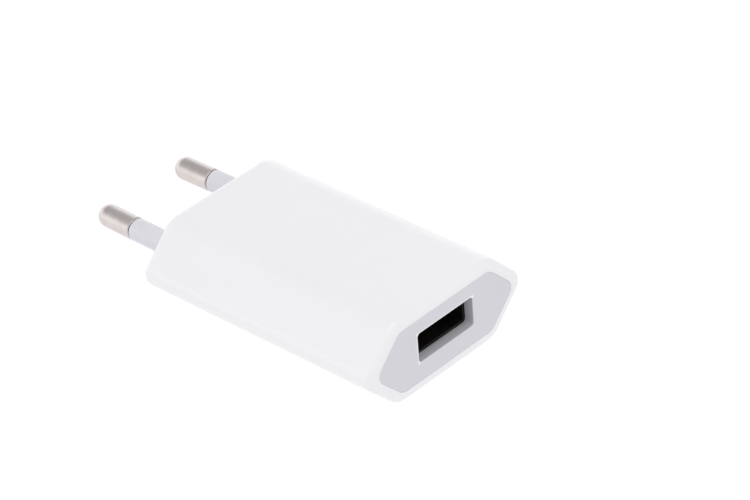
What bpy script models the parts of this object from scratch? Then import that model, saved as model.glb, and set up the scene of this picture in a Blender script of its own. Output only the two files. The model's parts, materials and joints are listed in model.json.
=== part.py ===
"""A slim USB wall charger: a hexagonal white housing with two round plug pins and one USB-A port.

Frame: the origin is the centre of the plug face. +Y points out of that face, along the pins, +Z is up
and +X is across, so the USB port looks along -Y and the housing lies on its lower flat face.
"""

import math

import bmesh
import bpy
from mathutils import Matrix, Vector

MM = 0.001

# ---------------------------------------------------------------- driving dimensions
BODY_LENGTH = 50.0 * MM  # plug face to USB face
BODY_THICKNESS = 15.6 * MM  # between the two flat faces
SHARP_WIDTH = 38.4 * MM  # across the side ridges, before they are rounded
FLAT_WIDTH = 23.0 * MM  # of a flat face, before its edges are rounded
RIDGE_RADIUS = 2.5 * MM  # of the two side ridges
EDGE_RADIUS = 4.3 * MM  # of the four edges of the flat faces
FRONT_ROUND = 1.0 * MM  # where the sides turn into the USB face
REAR_ROUND = 1.2 * MM  # where the sides turn into the plug face
WALL = 1.95 * MM
INSIDE_RIDGE_RADIUS = 1.9 * MM  # of the cavity and the end cap, at the side ridges
INSIDE_EDGE_RADIUS = 2.8 * MM  # and at the four other edges
CORNER_STEPS = 6
SEAM = 0.15 * MM  # between the end cap and the housing sleeve
GAP = 0.2 * MM  # between pieces that touch or are soldered together

PIN_LENGTH = 19.0 * MM
PIN_RADIUS = 2.0 * MM
PIN_PITCH = 18.6 * MM  # between the pins at the plug face
PIN_TIP_PITCH = 18.0 * MM  # the pins lean together a little
PIN_SLEEVE_LENGTH = 10.6 * MM

PORT_Z = 0.45 * MM  # the port sits a little above mid-height
PORT_WIDTH = 13.0 * MM
PORT_HEIGHT = 5.6 * MM
PORT_CORNER = 0.6 * MM
PORT_DEPTH = 1.9 * MM  # of the end cap's plate, in front of the receptacle

BOARD_TOP = -2.6 * MM
BOARD_THICKNESS = 1.0 * MM
BOARD_HALF_WIDTH = 11.1 * MM
BOARD_REAR = -8.0 * MM
BOARD_FRONT = -47.2 * MM
LEAD_END = -4.4 * MM  # soldered leads end this low, below the board

# ---------------------------------------------------------------- the USB-A receptacle
SHELL_FRONT = -BODY_LENGTH + PORT_DEPTH + GAP
SHELL_LENGTH = 13.9 * MM
SHELL_INSIDE = (12.5 * MM, 5.12 * MM)
SHELL_SHEET = 0.3 * MM
SHELL_REAR = SHELL_FRONT + SHELL_LENGTH
TONGUE_FRONT = SHELL_FRONT + 2.5 * MM
TONGUE_LOW = PORT_Z + 0.05 * MM
TONGUE_HIGH = PORT_Z + 1.89 * MM
BLOCK_FRONT = SHELL_REAR - 3.2 * MM
CONTACT_X = (-3.5 * MM, -1.0 * MM, 1.0 * MM, 3.5 * MM)
CONTACT_SHEET = 0.2 * MM
CONTACT_WIDTH = 1.0 * MM
CONTACT_GROOVE = 1.1 * MM  # depth of the grooves that the contacts sink into
CONTACT_ROOT_Y = BLOCK_FRONT - 0.2 * MM
CONTACT_ROOT_Z = TONGUE_LOW + 0.55 * MM
TAIL_DROP_Y = SHELL_REAR - 1.2 * MM
SPRING_X = 3.2 * MM
SPRING_WIDTH = 2.0 * MM
SPRING_ROOT_Y = SHELL_FRONT + 2.4 * MM
SPRING_LENGTH = 5.9 * MM

# ---------------------------------------------------------------- places of the larger components
CAPACITOR_RADIUS = 4.0 * MM
CAPACITOR_X = 4.6 * MM
CAPACITOR_REAR = -8.4 * MM
CAPACITOR_LENGTH = 9.6 * MM
CAPACITOR_LEAD_Y = -19.0 * MM
CAPACITOR_LEAD_HALF = 1.75 * MM

TRANSFORMER = Vector((0.0, -26.4 * MM, 1.7 * MM))
CORE_SIZE = (13.0 * MM, 12.0 * MM, 5.0 * MM)
BOBBIN_PIN_X = (-3.0 * MM, 0.0, 3.0 * MM)
BOBBIN_PIN_Y = 5.9 * MM

OUTPUT_CAPACITOR_RADIUS = 2.5 * MM
OUTPUT_CAPACITOR_X = 9.4 * MM
OUTPUT_CAPACITOR_REAR = -37.4 * MM
OUTPUT_CAPACITOR_LENGTH = 7.0 * MM

LEAD_RADIUS = 0.25 * MM
LEAD_HOLE = LEAD_RADIUS + GAP
LYING = BOARD_TOP + GAP  # the underside of a component that lies on the board

PAST = 1.0 * MM  # how far a cutter reaches past what it cuts

for leftover in list(bpy.data.objects):
    bpy.data.objects.remove(leftover, do_unlink=True)

PARTS = bpy.data.collections.new("usb_wall_charger")
HELPERS = bpy.data.collections.new("cutters")
bpy.context.scene.collection.children.link(PARTS)
bpy.context.scene.collection.children.link(HELPERS)


def material(name, colour, roughness, metallic=0.0):
    made = bpy.data.materials.new(name)
    made.use_nodes = True
    shader = made.node_tree.nodes["Principled BSDF"]
    shader.inputs["Base Color"].default_value = (*colour, 1.0)
    shader.inputs["Roughness"].default_value = roughness
    shader.inputs["Metallic"].default_value = metallic
    return made


WHITE = material("white_housing", (0.90, 0.90, 0.92), 0.28)
CAP_WHITE = material("grey_white_cap", (0.80, 0.79, 0.84), 0.30)
SLEEVE_GREY = material("pin_insulation", (0.74, 0.74, 0.80), 0.45)
NICKEL = material("nickel_plate", (0.78, 0.75, 0.70), 0.22, 1.0)
DARK_STEEL = material("receptacle_steel", (0.32, 0.31, 0.30), 0.40, 1.0)
GOLD = material("gold_plate", (0.83, 0.62, 0.25), 0.25, 1.0)
BLACK = material("black_plastic", (0.02, 0.02, 0.02), 0.45)
BRACKET = material("bracket_plastic", (0.55, 0.55, 0.56), 0.50)
BOARD = material("board_laminate", (0.03, 0.22, 0.10), 0.40)
FILM = material("insulating_film", (0.78, 0.70, 0.52), 0.35)
CAN = material("capacitor_can", (0.10, 0.11, 0.13), 0.35)
POLYMER_CAN = material("polymer_can", (0.72, 0.73, 0.74), 0.30, 1.0)
RUBBER = material("rubber_seal", (0.05, 0.05, 0.05), 0.80)
FERRITE = material("ferrite", (0.07, 0.07, 0.08), 0.65)
COPPER = material("copper_wire", (0.72, 0.36, 0.20), 0.35, 1.0)
TAPE = material("yellow_tape", (0.86, 0.62, 0.10), 0.35)
EPOXY_BLUE = material("blue_epoxy", (0.05, 0.19, 0.52), 0.35)
RESISTOR_GREEN = material("resistor_coat", (0.12, 0.35, 0.22), 0.50)


def place(obj, look=None):
    """Puts a finished piece in the part's collection."""
    PARTS.objects.link(obj)
    if look:
        obj.data.materials.clear()
        obj.data.materials.append(look)
    return obj


def helper(obj):
    """Puts a cutter, or a shape that is joined onto another, where it isn't rendered."""
    HELPERS.objects.link(obj)
    obj.hide_render = True
    obj.display_type = "WIRE"
    return obj


def boolean(target, tool, operation):
    modifier = target.modifiers.new(tool.name, "BOOLEAN")
    modifier.object = helper(tool)
    modifier.operation = operation
    modifier.solver = "EXACT"


def cut(target, *tools):
    for tool in tools:
        boolean(target, tool, "DIFFERENCE")


def join(target, *tools):
    for tool in tools:
        boolean(target, tool, "UNION")


def object_from(name, mesh_data):
    mesh = bpy.data.meshes.new(name)
    mesh_data.to_mesh(mesh)
    mesh_data.free()
    return bpy.data.objects.new(name, mesh)


def smooth(obj, degrees=35):
    obj.data.shade_smooth()
    obj.data.set_sharp_from_angle(angle=math.radians(degrees))
    return obj


def boxes(name, centres, size):
    """One object of equal boxes, for a block, a row of leads or a row of slots."""
    mesh_data = bmesh.new()
    scale = Matrix.Diagonal((*size, 1.0))
    for centre in centres:
        bmesh.ops.create_cube(mesh_data, size=1.0, matrix=Matrix.Translation(centre) @ scale)
    return object_from(name, mesh_data)


def box(name, low, high):
    """A box given by its lowest and highest corners."""
    low, high = Vector(low), Vector(high)
    return boxes(name, [(low + high) / 2], high - low)


def rods(name, ends, radius, segments=8):
    """One object of equal round rods, each given by its two end points."""
    mesh_data = bmesh.new()
    for start, end in ends:
        start, end = Vector(start), Vector(end)
        turn = (end - start).to_track_quat("Z", "Y").to_matrix().to_4x4()
        bmesh.ops.create_cone(
            mesh_data,
            cap_ends=True,
            segments=segments,
            radius1=radius,
            radius2=radius,
            depth=(end - start).length,
            matrix=Matrix.Translation((start + end) / 2) @ turn,
        )
    return object_from(name, mesh_data)


def rounded(corners, radii, steps=CORNER_STEPS):
    """The outline of a convex polygon, counter-clockwise, with its corners rounded by arcs."""
    points = []
    for index, corner in enumerate(corners):
        corner = Vector(corner)
        before = (Vector(corners[index - 1]) - corner).normalized()
        after = (Vector(corners[(index + 1) % len(corners)]) - corner).normalized()
        half_angle = before.angle(after) / 2
        bisector = (before + after).normalized()
        centre = corner + bisector * radii[index] / math.sin(half_angle)
        sweep = math.pi - 2 * half_angle
        outward = -bisector * radii[index]
        for step in range(steps + 1):
            turn = Matrix.Rotation(sweep * (step / steps - 0.5), 2)
            points.append(centre + turn @ outward)
    return points


def rounded_rectangle(width, height, radius, steps=CORNER_STEPS):
    x, y = width / 2, height / 2
    return rounded([(x, -y), (x, y), (-x, y), (-x, -y)], [radius] * 4, steps)


def hexagon(inset, radii=(RIDGE_RADIUS, EDGE_RADIUS)):
    """The housing's cross-section in X and Z, moved inwards by inset, with rounded corners.

    The radii are those of the ridges and the other edges before the inset.
    """
    slope = math.atan2(BODY_THICKNESS, SHARP_WIDTH - FLAT_WIDTH)
    high = BODY_THICKNESS / 2 - inset
    ridge = SHARP_WIDTH / 2 - inset / math.sin(slope)
    edge = ridge - high / math.tan(slope)
    corners = [(ridge, 0), (edge, high), (-edge, high), (-ridge, 0), (-edge, -high), (edge, -high)]
    least = 0.4 * MM
    ridge_radius, edge_radius = (max(radius - inset, least) for radius in radii)
    return rounded(corners, [ridge_radius, edge_radius, edge_radius] * 2)


def inside(clearance):
    """The cavity's outline, moved inwards by clearance."""
    return hexagon(WALL + clearance, (WALL + INSIDE_RIDGE_RADIUS, WALL + INSIDE_EDGE_RADIUS))


def prism(name, outline, depth):
    """A flat outline made thick: its mesh runs from 0 to depth along its own +Z."""
    curve = bpy.data.curves.new(name, "CURVE")
    curve.dimensions = "2D"
    curve.fill_mode = "BOTH"
    curve.extrude = depth / 2
    spline = curve.splines.new("POLY")
    spline.points.add(len(outline) - 1)
    for point, place_2d in zip(spline.points, outline):
        point.co = (*place_2d, 0.0, 1.0)
    spline.use_cyclic_u = True
    drawn = bpy.data.objects.new(name, curve)
    bpy.context.scene.collection.objects.link(drawn)
    graph = bpy.context.evaluated_depsgraph_get()
    mesh = bpy.data.meshes.new_from_object(drawn.evaluated_get(graph))
    bpy.data.objects.remove(drawn)
    mesh_data = bmesh.new()
    mesh_data.from_mesh(mesh)
    bmesh.ops.remove_doubles(mesh_data, verts=mesh_data.verts, dist=0.001 * MM)
    bmesh.ops.dissolve_limit(
        mesh_data, angle_limit=math.radians(0.5), verts=mesh_data.verts, edges=mesh_data.edges
    )
    bmesh.ops.translate(mesh_data, verts=mesh_data.verts, vec=(0, 0, depth / 2))
    bmesh.ops.recalc_face_normals(mesh_data, faces=mesh_data.faces)
    return object_from(name, mesh_data)


def along_y(name, outline, start, end):
    """A prism whose outline lies in X and Z, from y = start to y = end."""
    made = prism(name, outline, end - start)
    made.data.transform(Matrix.Translation((0, end, 0)) @ Matrix.Rotation(math.pi / 2, 4, "X"))
    return made


def along_z(name, outline, low, high):
    made = prism(name, outline, high - low)
    made.data.transform(Matrix.Translation((0, 0, low)))
    return made


def round_end(obj, y, radius, steps):
    """Rounds the edges around a prism's end face at this y."""
    mesh_data = bmesh.new()
    mesh_data.from_mesh(obj.data)
    near = 0.01 * MM
    rim = [e for e in mesh_data.edges if all(abs(v.co.y - y) < near for v in e.verts)]
    bmesh.ops.bevel(
        mesh_data, geom=rim, offset=radius, segments=steps, profile=0.5, affect="EDGES"
    )
    mesh_data.to_mesh(obj.data)
    mesh_data.free()


def turned(name, profile, segments=24):
    """A turned piece about its own Z: profile is (radius, height) pairs, from the top down."""
    mesh_data = bmesh.new()
    corners = [mesh_data.verts.new((radius, 0, height)) for radius, height in profile]
    for first, second in zip(corners, corners[1:]):
        mesh_data.edges.new((first, second))
    made = object_from(name, mesh_data)
    screw = made.modifiers.new("turn", "SCREW")
    screw.steps = segments
    screw.render_steps = segments
    screw.use_merge_vertices = True
    screw.merge_threshold = 0.00001
    return made


def ribbon(name, path, width, thickness):
    """Bent sheet metal: path is the strip's side view in Y and Z, extruded along X."""
    mesh_data = bmesh.new()
    corners = [mesh_data.verts.new((-width / 2, y, z)) for y, z in path]
    edges = [mesh_data.edges.new(pair) for pair in zip(corners, corners[1:])]
    grown = bmesh.ops.extrude_edge_only(mesh_data, edges=edges)["geom"]
    moved = [item for item in grown if isinstance(item, bmesh.types.BMVert)]
    bmesh.ops.translate(mesh_data, verts=moved, vec=(width, 0, 0))
    made = object_from(name, mesh_data)
    sheet = made.modifiers.new("sheet", "SOLIDIFY")
    sheet.thickness = thickness
    sheet.offset = 0.0
    sheet.use_even_offset = True
    return made


def wire(name, points, radius):
    """A round wire through these points, as a mesh, so that it can be joined to its piece."""
    curve = bpy.data.curves.new(name, "CURVE")
    curve.dimensions = "3D"
    curve.bevel_depth = radius
    curve.bevel_resolution = 2
    curve.use_fill_caps = True
    spline = curve.splines.new("POLY")
    spline.points.add(len(points) - 1)
    for point, where in zip(spline.points, points):
        point.co = (*where, 1.0)
    drawn = bpy.data.objects.new(name, curve)
    bpy.context.scene.collection.objects.link(drawn)
    graph = bpy.context.evaluated_depsgraph_get()
    mesh = bpy.data.meshes.new_from_object(drawn.evaluated_get(graph))
    bpy.data.objects.remove(drawn)
    mesh_data = bmesh.new()
    mesh_data.from_mesh(mesh)
    bmesh.ops.remove_doubles(mesh_data, verts=mesh_data.verts, dist=0.001 * MM)
    bmesh.ops.recalc_face_normals(mesh_data, faces=mesh_data.faces)
    return object_from(name, mesh_data)


# ---------------------------------------------------------------- housing
def make_housing_sleeve():
    """The outer shell: a hexagonal tube, closed by the plug face and open at the USB end."""
    sleeve = along_y("housing_sleeve", hexagon(0.0), -BODY_LENGTH, 0.0)
    round_end(sleeve, -BODY_LENGTH, FRONT_ROUND, 4)
    round_end(sleeve, 0.0, REAR_ROUND, 4)
    cut(sleeve, along_y("cavity", inside(0.0), -BODY_LENGTH - PAST, -WALL))
    hole_ends = []
    for side in (-1, 1):
        x = side * PIN_PITCH / 2
        hole_ends.append(((x, -WALL - PAST, 0), (x, PAST, 0)))
    cut(sleeve, rods("pin_holes", hole_ends, PIN_RADIUS + GAP, 24))
    place(sleeve, WHITE)
    smooth(sleeve)


def make_end_cap():
    """The plate round the USB port, with a skirt that plugs into the sleeve."""
    plate_back = -BODY_LENGTH + PORT_DEPTH
    skirt_end = plate_back + 3.0 * MM
    skirt_wall = 0.8 * MM
    cap = along_y("end_cap", inside(SEAM), -BODY_LENGTH, skirt_end)
    hollow = inside(SEAM + skirt_wall)
    cut(cap, along_y("skirt_hollow", hollow, plate_back, skirt_end + PAST))
    opening = [
        (x, z + PORT_Z) for x, z in rounded_rectangle(PORT_WIDTH, PORT_HEIGHT, PORT_CORNER)
    ]
    cut(cap, along_y("port_opening", opening, -BODY_LENGTH - PAST, plate_back + PAST))
    place(cap, CAP_WHITE)
    smooth(cap)


# ---------------------------------------------------------------- plug pins
def make_pins():
    """Two turned pins, each with an insulating sleeve, held by a carrier inside the plug face."""
    core_radius = 1.45 * MM
    flange_radius = 2.8 * MM
    flange_top = -WALL - GAP
    flange_low = flange_top - 1.2 * MM
    tail_radius = 1.2 * MM
    tail_end = -7.4 * MM
    metal_start = PIN_SLEEVE_LENGTH + GAP
    dome_centre = PIN_LENGTH - PIN_RADIUS
    dome_steps = 6
    dome = []
    for step in range(dome_steps + 1):
        angle = math.pi / 2 * (1 - step / dome_steps)
        dome.append((PIN_RADIUS * math.cos(angle), dome_centre + PIN_RADIUS * math.sin(angle)))
    dome[0] = (0.0, PIN_LENGTH)
    profile = dome + [
        (PIN_RADIUS, metal_start),
        (core_radius, metal_start),
        (core_radius, flange_top),
        (flange_radius, flange_top),
        (flange_radius, flange_low),
        (tail_radius, flange_low),
        (tail_radius, tail_end),
        (0.0, tail_end),
    ]
    sleeve_inside = core_radius + 0.1 * MM
    sleeve_outside = PIN_RADIUS - 0.04 * MM
    sleeve_low = flange_top + GAP / 2
    sleeve_profile = [
        (sleeve_inside, PIN_SLEEVE_LENGTH),
        (sleeve_outside, PIN_SLEEVE_LENGTH),
        (sleeve_outside, sleeve_low),
        (sleeve_inside, sleeve_low),
        (sleeve_inside, PIN_SLEEVE_LENGTH),
    ]
    lean = math.atan2((PIN_PITCH - PIN_TIP_PITCH) / 2, PIN_LENGTH)
    for side, word in ((-1, "left"), (1, "right")):
        pin = place(turned("plug_pin_" + word, profile), NICKEL)
        tube = place(turned("pin_sleeve_" + word, sleeve_profile), SLEEVE_GREY)
        for piece in (pin, tube):
            piece.location = (side * PIN_PITCH / 2, 0, 0)
            piece.rotation_euler = (-math.pi / 2, 0, side * lean)
            smooth(piece)


def make_pin_carrier():
    """The bar behind the plug face that traps the pins' flanges."""
    rear = -WALL - GAP
    front = -6.4 * MM
    half_x, half_z = 13.0 * MM, 3.4 * MM
    pocket_front = rear - 1.6 * MM
    pocket_radius, bore_radius = 3.1 * MM, 1.5 * MM
    carrier = box("pin_carrier", (-half_x, front, -half_z), (half_x, rear, half_z))
    pockets = []
    bores = []
    for side in (-1, 1):
        x = side * PIN_PITCH / 2
        pockets.append(((x, pocket_front, 0), (x, rear + PAST, 0)))
        bores.append(((x, front - PAST, 0), (x, rear, 0)))
    cut(carrier, rods("flange_pockets", pockets, pocket_radius, 24))
    cut(carrier, rods("tail_bores", bores, bore_radius, 16))
    place(carrier, BRACKET)


def make_pin_contacts():
    """Leaf springs soldered to the board, which press up against the pins' tails."""
    sheet = 0.25 * MM
    width = 2.0 * MM
    tail_underside = -1.2 * MM
    top = tail_underside - sheet
    foot = LYING + sheet / 2
    path = [(-6.6 * MM, top), (-7.7 * MM, top), (-8.6 * MM, foot), (-10.4 * MM, foot)]
    for side, word in ((-1, "left"), (1, "right")):
        leaf = place(ribbon("pin_contact_" + word, path, width, sheet), GOLD)
        leaf.location.x = side * PIN_PITCH / 2


# ---------------------------------------------------------------- circuit board and its components
def lead_places():
    """Where round leads go through the board, as (x, y)."""
    places = []
    for side in (-1, 1):
        for offset in (-CAPACITOR_LEAD_HALF, CAPACITOR_LEAD_HALF):
            places.append((side * CAPACITOR_X + offset, CAPACITOR_LEAD_Y))
        for x in BOBBIN_PIN_X:
            places.append((x, TRANSFORMER.y + side * BOBBIN_PIN_Y))
    return places


def make_board():
    """The circuit board, with holes for leads and legs and a slot that isolates the two sides."""
    board_low = BOARD_TOP - BOARD_THICKNESS
    length = BOARD_REAR - BOARD_FRONT
    corner = 1.0 * MM
    outline = [
        (x, y + (BOARD_REAR + BOARD_FRONT) / 2)
        for x, y in rounded_rectangle(2 * BOARD_HALF_WIDTH, length, corner, 3)
    ]
    board = along_z("circuit_board", outline, board_low, BOARD_TOP)
    low, high = board_low - PAST, BOARD_TOP + PAST
    holes = [((x, y, low), (x, y, high)) for x, y in lead_places()]
    cut(board, rods("lead_holes", holes, LEAD_HOLE))
    cutter_height = 4.0 * MM
    slots = [(x, TAIL_DROP_Y, BOARD_TOP) for x in CONTACT_X]
    slot_size = (CONTACT_WIDTH + 2 * GAP, CONTACT_SHEET + 2 * GAP, cutter_height)
    cut(board, boxes("tail_slots", slots, slot_size))
    leg_slots = [(x, y, BOARD_TOP) for x, y in shell_leg_places()]
    cut(board, boxes("leg_slots", leg_slots, (0.8 * MM, 1.8 * MM, cutter_height)))
    half_x, half_y, middle = 9.0 * MM, 0.5 * MM, TRANSFORMER.y
    isolation = (-half_x, middle - half_y, low), (half_x, middle + half_y, high)
    cut(board, box("isolation_slot", *isolation))
    place(board, BOARD)


def make_insulating_tray():
    """A folded film under the board, which keeps its solder side off the housing."""
    thickness = 0.3 * MM
    floor = -BODY_THICKNESS / 2 + WALL + GAP + thickness / 2
    rise = 1.9 * MM
    half_floor = 9.6 * MM
    length = BOARD_REAR - BOARD_FRONT - 6.0 * MM
    nearer_plug = 2.0 * MM
    path = [
        (-half_floor - rise, floor + rise),
        (-half_floor, floor),
        (half_floor, floor),
        (half_floor + rise, floor + rise),
    ]
    tray = ribbon("insulating_tray", path, length, thickness)
    tray.rotation_euler.z = -math.pi / 2
    tray.location.y = (BOARD_FRONT + BOARD_REAR) / 2 + nearer_plug
    place(tray, FILM)


def make_bulk_capacitors():
    """Two electrolytic cans that lie side by side, each with its rubber seal and leads."""
    axis_z = LYING + CAPACITOR_RADIUS
    lip = 0.5 * MM
    groove_depth = 0.35 * MM
    seal_radius = CAPACITOR_RADIUS - 0.6 * MM
    seal_depth = 1.6 * MM
    bend = 0.3 * MM
    length = CAPACITOR_LENGTH
    can_profile = [
        (0.0, length),
        (CAPACITOR_RADIUS - lip, length),
        (CAPACITOR_RADIUS, length - lip),
        (CAPACITOR_RADIUS, 2.4 * MM),
        (CAPACITOR_RADIUS - groove_depth, 2.0 * MM),
        (CAPACITOR_RADIUS - groove_depth, 1.6 * MM),
        (CAPACITOR_RADIUS, 1.2 * MM),
        (CAPACITOR_RADIUS, lip / 2),
        (CAPACITOR_RADIUS - lip / 2, 0.0),
        (seal_radius + GAP / 2, 0.0),
        (seal_radius + GAP / 2, seal_depth + GAP),
        (0.0, seal_depth + GAP),
    ]
    seal_profile = [
        (0.0, seal_depth),
        (seal_radius, seal_depth),
        (seal_radius, 0.3 * MM),
        (seal_radius - 0.3 * MM, 0.0),
        (0.0, 0.0),
    ]
    front = CAPACITOR_REAR - CAPACITOR_LENGTH
    for side, word in ((-1, "left"), (1, "right")):
        x = side * CAPACITOR_X
        can = place(turned("bulk_capacitor_" + word, can_profile), CAN)
        seal = turned("capacitor_seal_" + word, seal_profile)
        for piece in (can, seal):
            piece.location = (x, front, axis_z)
            piece.rotation_euler.x = -math.pi / 2
            smooth(piece)
        place(seal, RUBBER)
        for number, offset in enumerate((-CAPACITOR_LEAD_HALF, CAPACITOR_LEAD_HALF)):
            route = [
                (x + offset, front + 0.8 * MM, axis_z),
                (x + offset, CAPACITOR_LEAD_Y + bend, axis_z),
                (x + offset, CAPACITOR_LEAD_Y, axis_z - bend),
                (x + offset, CAPACITOR_LEAD_Y, LEAD_END),
            ]
            join(seal, wire("lead_%s_%d" % (word, number), route, LEAD_RADIUS))


def make_transformer():
    """Two E-shaped ferrite halves, a bobbin with pins, two windings and the tape round the core."""
    z0 = TRANSFORMER.z
    half_x, half_y, half_z = (size / 2 for size in CORE_SIZE)
    back = 2.2 * MM
    outer_leg = 2.0 * MM
    centre_leg = 1.6 * MM
    air = 0.1 * MM
    window_x = half_x - outer_leg
    for side, word in ((-1, "front"), (1, "rear")):
        outline = [
            (half_x, half_y),
            (-half_x, half_y),
            (-half_x, air),
            (-window_x, air),
            (-window_x, half_y - back),
            (-centre_leg, half_y - back),
            (-centre_leg, air),
            (centre_leg, air),
            (centre_leg, half_y - back),
            (window_x, half_y - back),
            (window_x, air),
            (half_x, air),
        ]
        core = along_z("core_half_" + word, outline, -half_z, half_z)
        core.rotation_euler.z = 0.0 if side > 0 else math.pi
        core.location = TRANSFORMER
        place(core, FERRITE)

    tube_in = (centre_leg + 0.2 * MM, half_z + 0.2 * MM)
    tube_out = (tube_in[0] + 0.3 * MM, tube_in[1] + 0.3 * MM)
    reach = half_y - back - 0.1 * MM
    flange = 0.5 * MM
    flange_half = (window_x - 0.1 * MM, 4.0 * MM)
    bobbin = box("bobbin", (-tube_out[0], -reach, -tube_out[1]), (tube_out[0], reach, tube_out[1]))
    rail_low = LYING - z0
    rail_high = -half_z - GAP
    for side in (-1, 1):
        inner, outer = sorted((side * (reach - flange), side * reach))
        plate = box(
            "flange", (-flange_half[0], inner, -flange_half[1]), (flange_half[0], outer, flange_half[1])
        )
        rail_inner, rail_outer = sorted((side * (reach - flange / 2), side * (half_y + 0.4 * MM)))
        rail = box(
            "pin_rail", (-flange_half[0], rail_inner, rail_low), (flange_half[0], rail_outer, rail_high)
        )
        pin_ends = [
            ((x, side * BOBBIN_PIN_Y, rail_low + 0.4 * MM), (x, side * BOBBIN_PIN_Y, LEAD_END - z0))
            for x in BOBBIN_PIN_X
        ]
        join(bobbin, plate, rail, rods("bobbin_pins", pin_ends, LEAD_RADIUS))
    bore = (-tube_in[0], -reach - PAST, -tube_in[1]), (tube_in[0], reach + PAST, tube_in[1])
    cut(bobbin, box("bobbin_bore", *bore))
    for child in HELPERS.objects:
        if child.name.split(".")[0] in ("flange", "pin_rail", "bobbin_pins", "bobbin_bore"):
            child.location = TRANSFORMER
    bobbin.location = TRANSFORMER
    place(bobbin, BLACK)

    wound = reach - flange - 0.1 * MM
    layers = (
        ("primary_winding", 0.1 * MM, 0.5 * MM, 0.4 * MM, COPPER),
        ("secondary_winding", 0.7 * MM, 1.1 * MM, 0.7 * MM, TAPE),
    )
    for name, start, end, radius, look in layers:
        outer = rounded_rectangle(2 * (tube_out[0] + end), 2 * (tube_out[1] + end), radius, 3)
        inner = rounded_rectangle(
            2 * (tube_out[0] + start), 2 * (tube_out[1] + start), radius / 2, 3
        )
        winding = along_y(name, outer, -wound, wound)
        hollow = along_y(name + "_hollow", inner, -wound - PAST, wound + PAST)
        hollow.location = TRANSFORMER
        winding.location = TRANSFORMER
        cut(winding, hollow)
        place(winding, look)

    wrap = 0.15 * MM
    corner = 0.3 * MM
    half_band = 2.0 * MM
    around = [(half_x + air, half_y + air), (half_x + air + wrap, half_y + air + wrap)]
    rings = [rounded_rectangle(2 * x, 2 * y, corner, 3) for x, y in around]
    band = along_z("core_tape", rings[1], -half_band, half_band)
    hollow = along_z("core_tape_hollow", rings[0], -half_band - PAST, half_band + PAST)
    for piece in (band, hollow):
        piece.location = TRANSFORMER
    cut(band, hollow)
    place(band, TAPE)


def make_side_components():
    """The fusible resistor, the line choke, the Y capacitor and the optocoupler."""
    beside_x, beside_y = 10.1 * MM, -19.0 * MM  # the resistor and the choke, at the board's edges
    bulge = 1.3 * MM
    waist = 1.1 * MM
    length = 6.6 * MM
    resistor_profile = [
        (0.0, length),
        (bulge - 0.3 * MM, length),
        (bulge, length - 0.4 * MM),
        (bulge, length - 1.4 * MM),
        (waist, length - 1.8 * MM),
        (waist, 1.8 * MM),
        (bulge, 1.4 * MM),
        (bulge, 0.4 * MM),
        (bulge - 0.3 * MM, 0.0),
        (0.0, 0.0),
    ]
    resistor = place(turned("fusible_resistor", resistor_profile, 16), RESISTOR_GREEN)
    resistor.location = (beside_x, beside_y, LYING + bulge)
    resistor.rotation_euler.x = -math.pi / 2

    drum = 1.3 * MM
    neck = 0.7 * MM
    end = 0.8 * MM
    core_profile = [
        (0.0, length),
        (drum, length),
        (drum, length - end),
        (neck, length - end),
        (neck, end),
        (drum, end),
        (drum, 0.0),
        (0.0, 0.0),
    ]
    slack = 0.1 * MM
    coil_profile = [
        (neck + slack, length - end - slack),
        (drum - slack, length - end - slack),
        (drum - slack, end + slack),
        (neck + slack, end + slack),
        (neck + slack, length - end - slack),
    ]
    core = place(turned("choke_core", core_profile, 16), FERRITE)
    coil = place(turned("choke_winding", coil_profile, 16), COPPER)
    for piece in (core, coil):
        piece.location = (-beside_x, beside_y, LYING + drum)
        piece.rotation_euler.x = -math.pi / 2

    disc_radius = 3.4 * MM
    rim = 0.7 * MM
    disc_profile = [
        (0.0, 1.4 * MM),
        (disc_radius - rim, 1.2 * MM),
        (disc_radius, 0.5 * MM),
        (disc_radius, -0.5 * MM),
        (disc_radius - rim, -1.2 * MM),
        (0.0, -1.4 * MM),
    ]
    disc = turned("y_capacitor", disc_profile, 24)
    disc.location = (8.9 * MM, TRANSFORMER.y, LYING + disc_radius)
    disc.rotation_euler.y = math.pi / 2
    place(disc, EPOXY_BLUE)

    foot_x, foot_y, foot_z = 0.5 * MM, 0.8 * MM, 0.8 * MM
    underside = LYING + foot_z / 2
    opto = box(
        "optocoupler", (-11.1 * MM, -29.0 * MM, underside), (-7.5 * MM, -24.4 * MM, 1.2 * MM)
    )
    feet = []
    for x in (-10.9 * MM, -7.7 * MM):
        for y in (-28.0 * MM, -25.4 * MM):
            feet.append((x, y, underside))
    join(opto, boxes("opto_feet", feet, (foot_x, foot_y, foot_z)))
    place(opto, BLACK)
    for piece in (resistor, core, coil, disc):
        smooth(piece)


def make_chip(name, centre_x, centre_y, size, leads):
    """A flat package soldered under the board, with leads along its two long sides."""
    top = BOARD_TOP - BOARD_THICKNESS - GAP
    stand_off = 0.1 * MM
    lead_length, lead_height = 1.0 * MM, 0.5 * MM
    width, length, height = size
    body = box(
        name,
        (centre_x - width / 2, centre_y - length / 2, top - stand_off - height),
        (centre_x + width / 2, centre_y + length / 2, top - stand_off),
    )
    feet = []
    pitch = length / leads
    for side in (-1, 1):
        for number in range(leads):
            y = centre_y + (number - (leads - 1) / 2) * pitch
            feet.append((centre_x + side * (width / 2 + 0.3 * MM), y, top - lead_height / 2))
    join(body, boxes(name + "_leads", feet, (lead_length, pitch * 0.35, lead_height)))
    place(body, BLACK)


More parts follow.
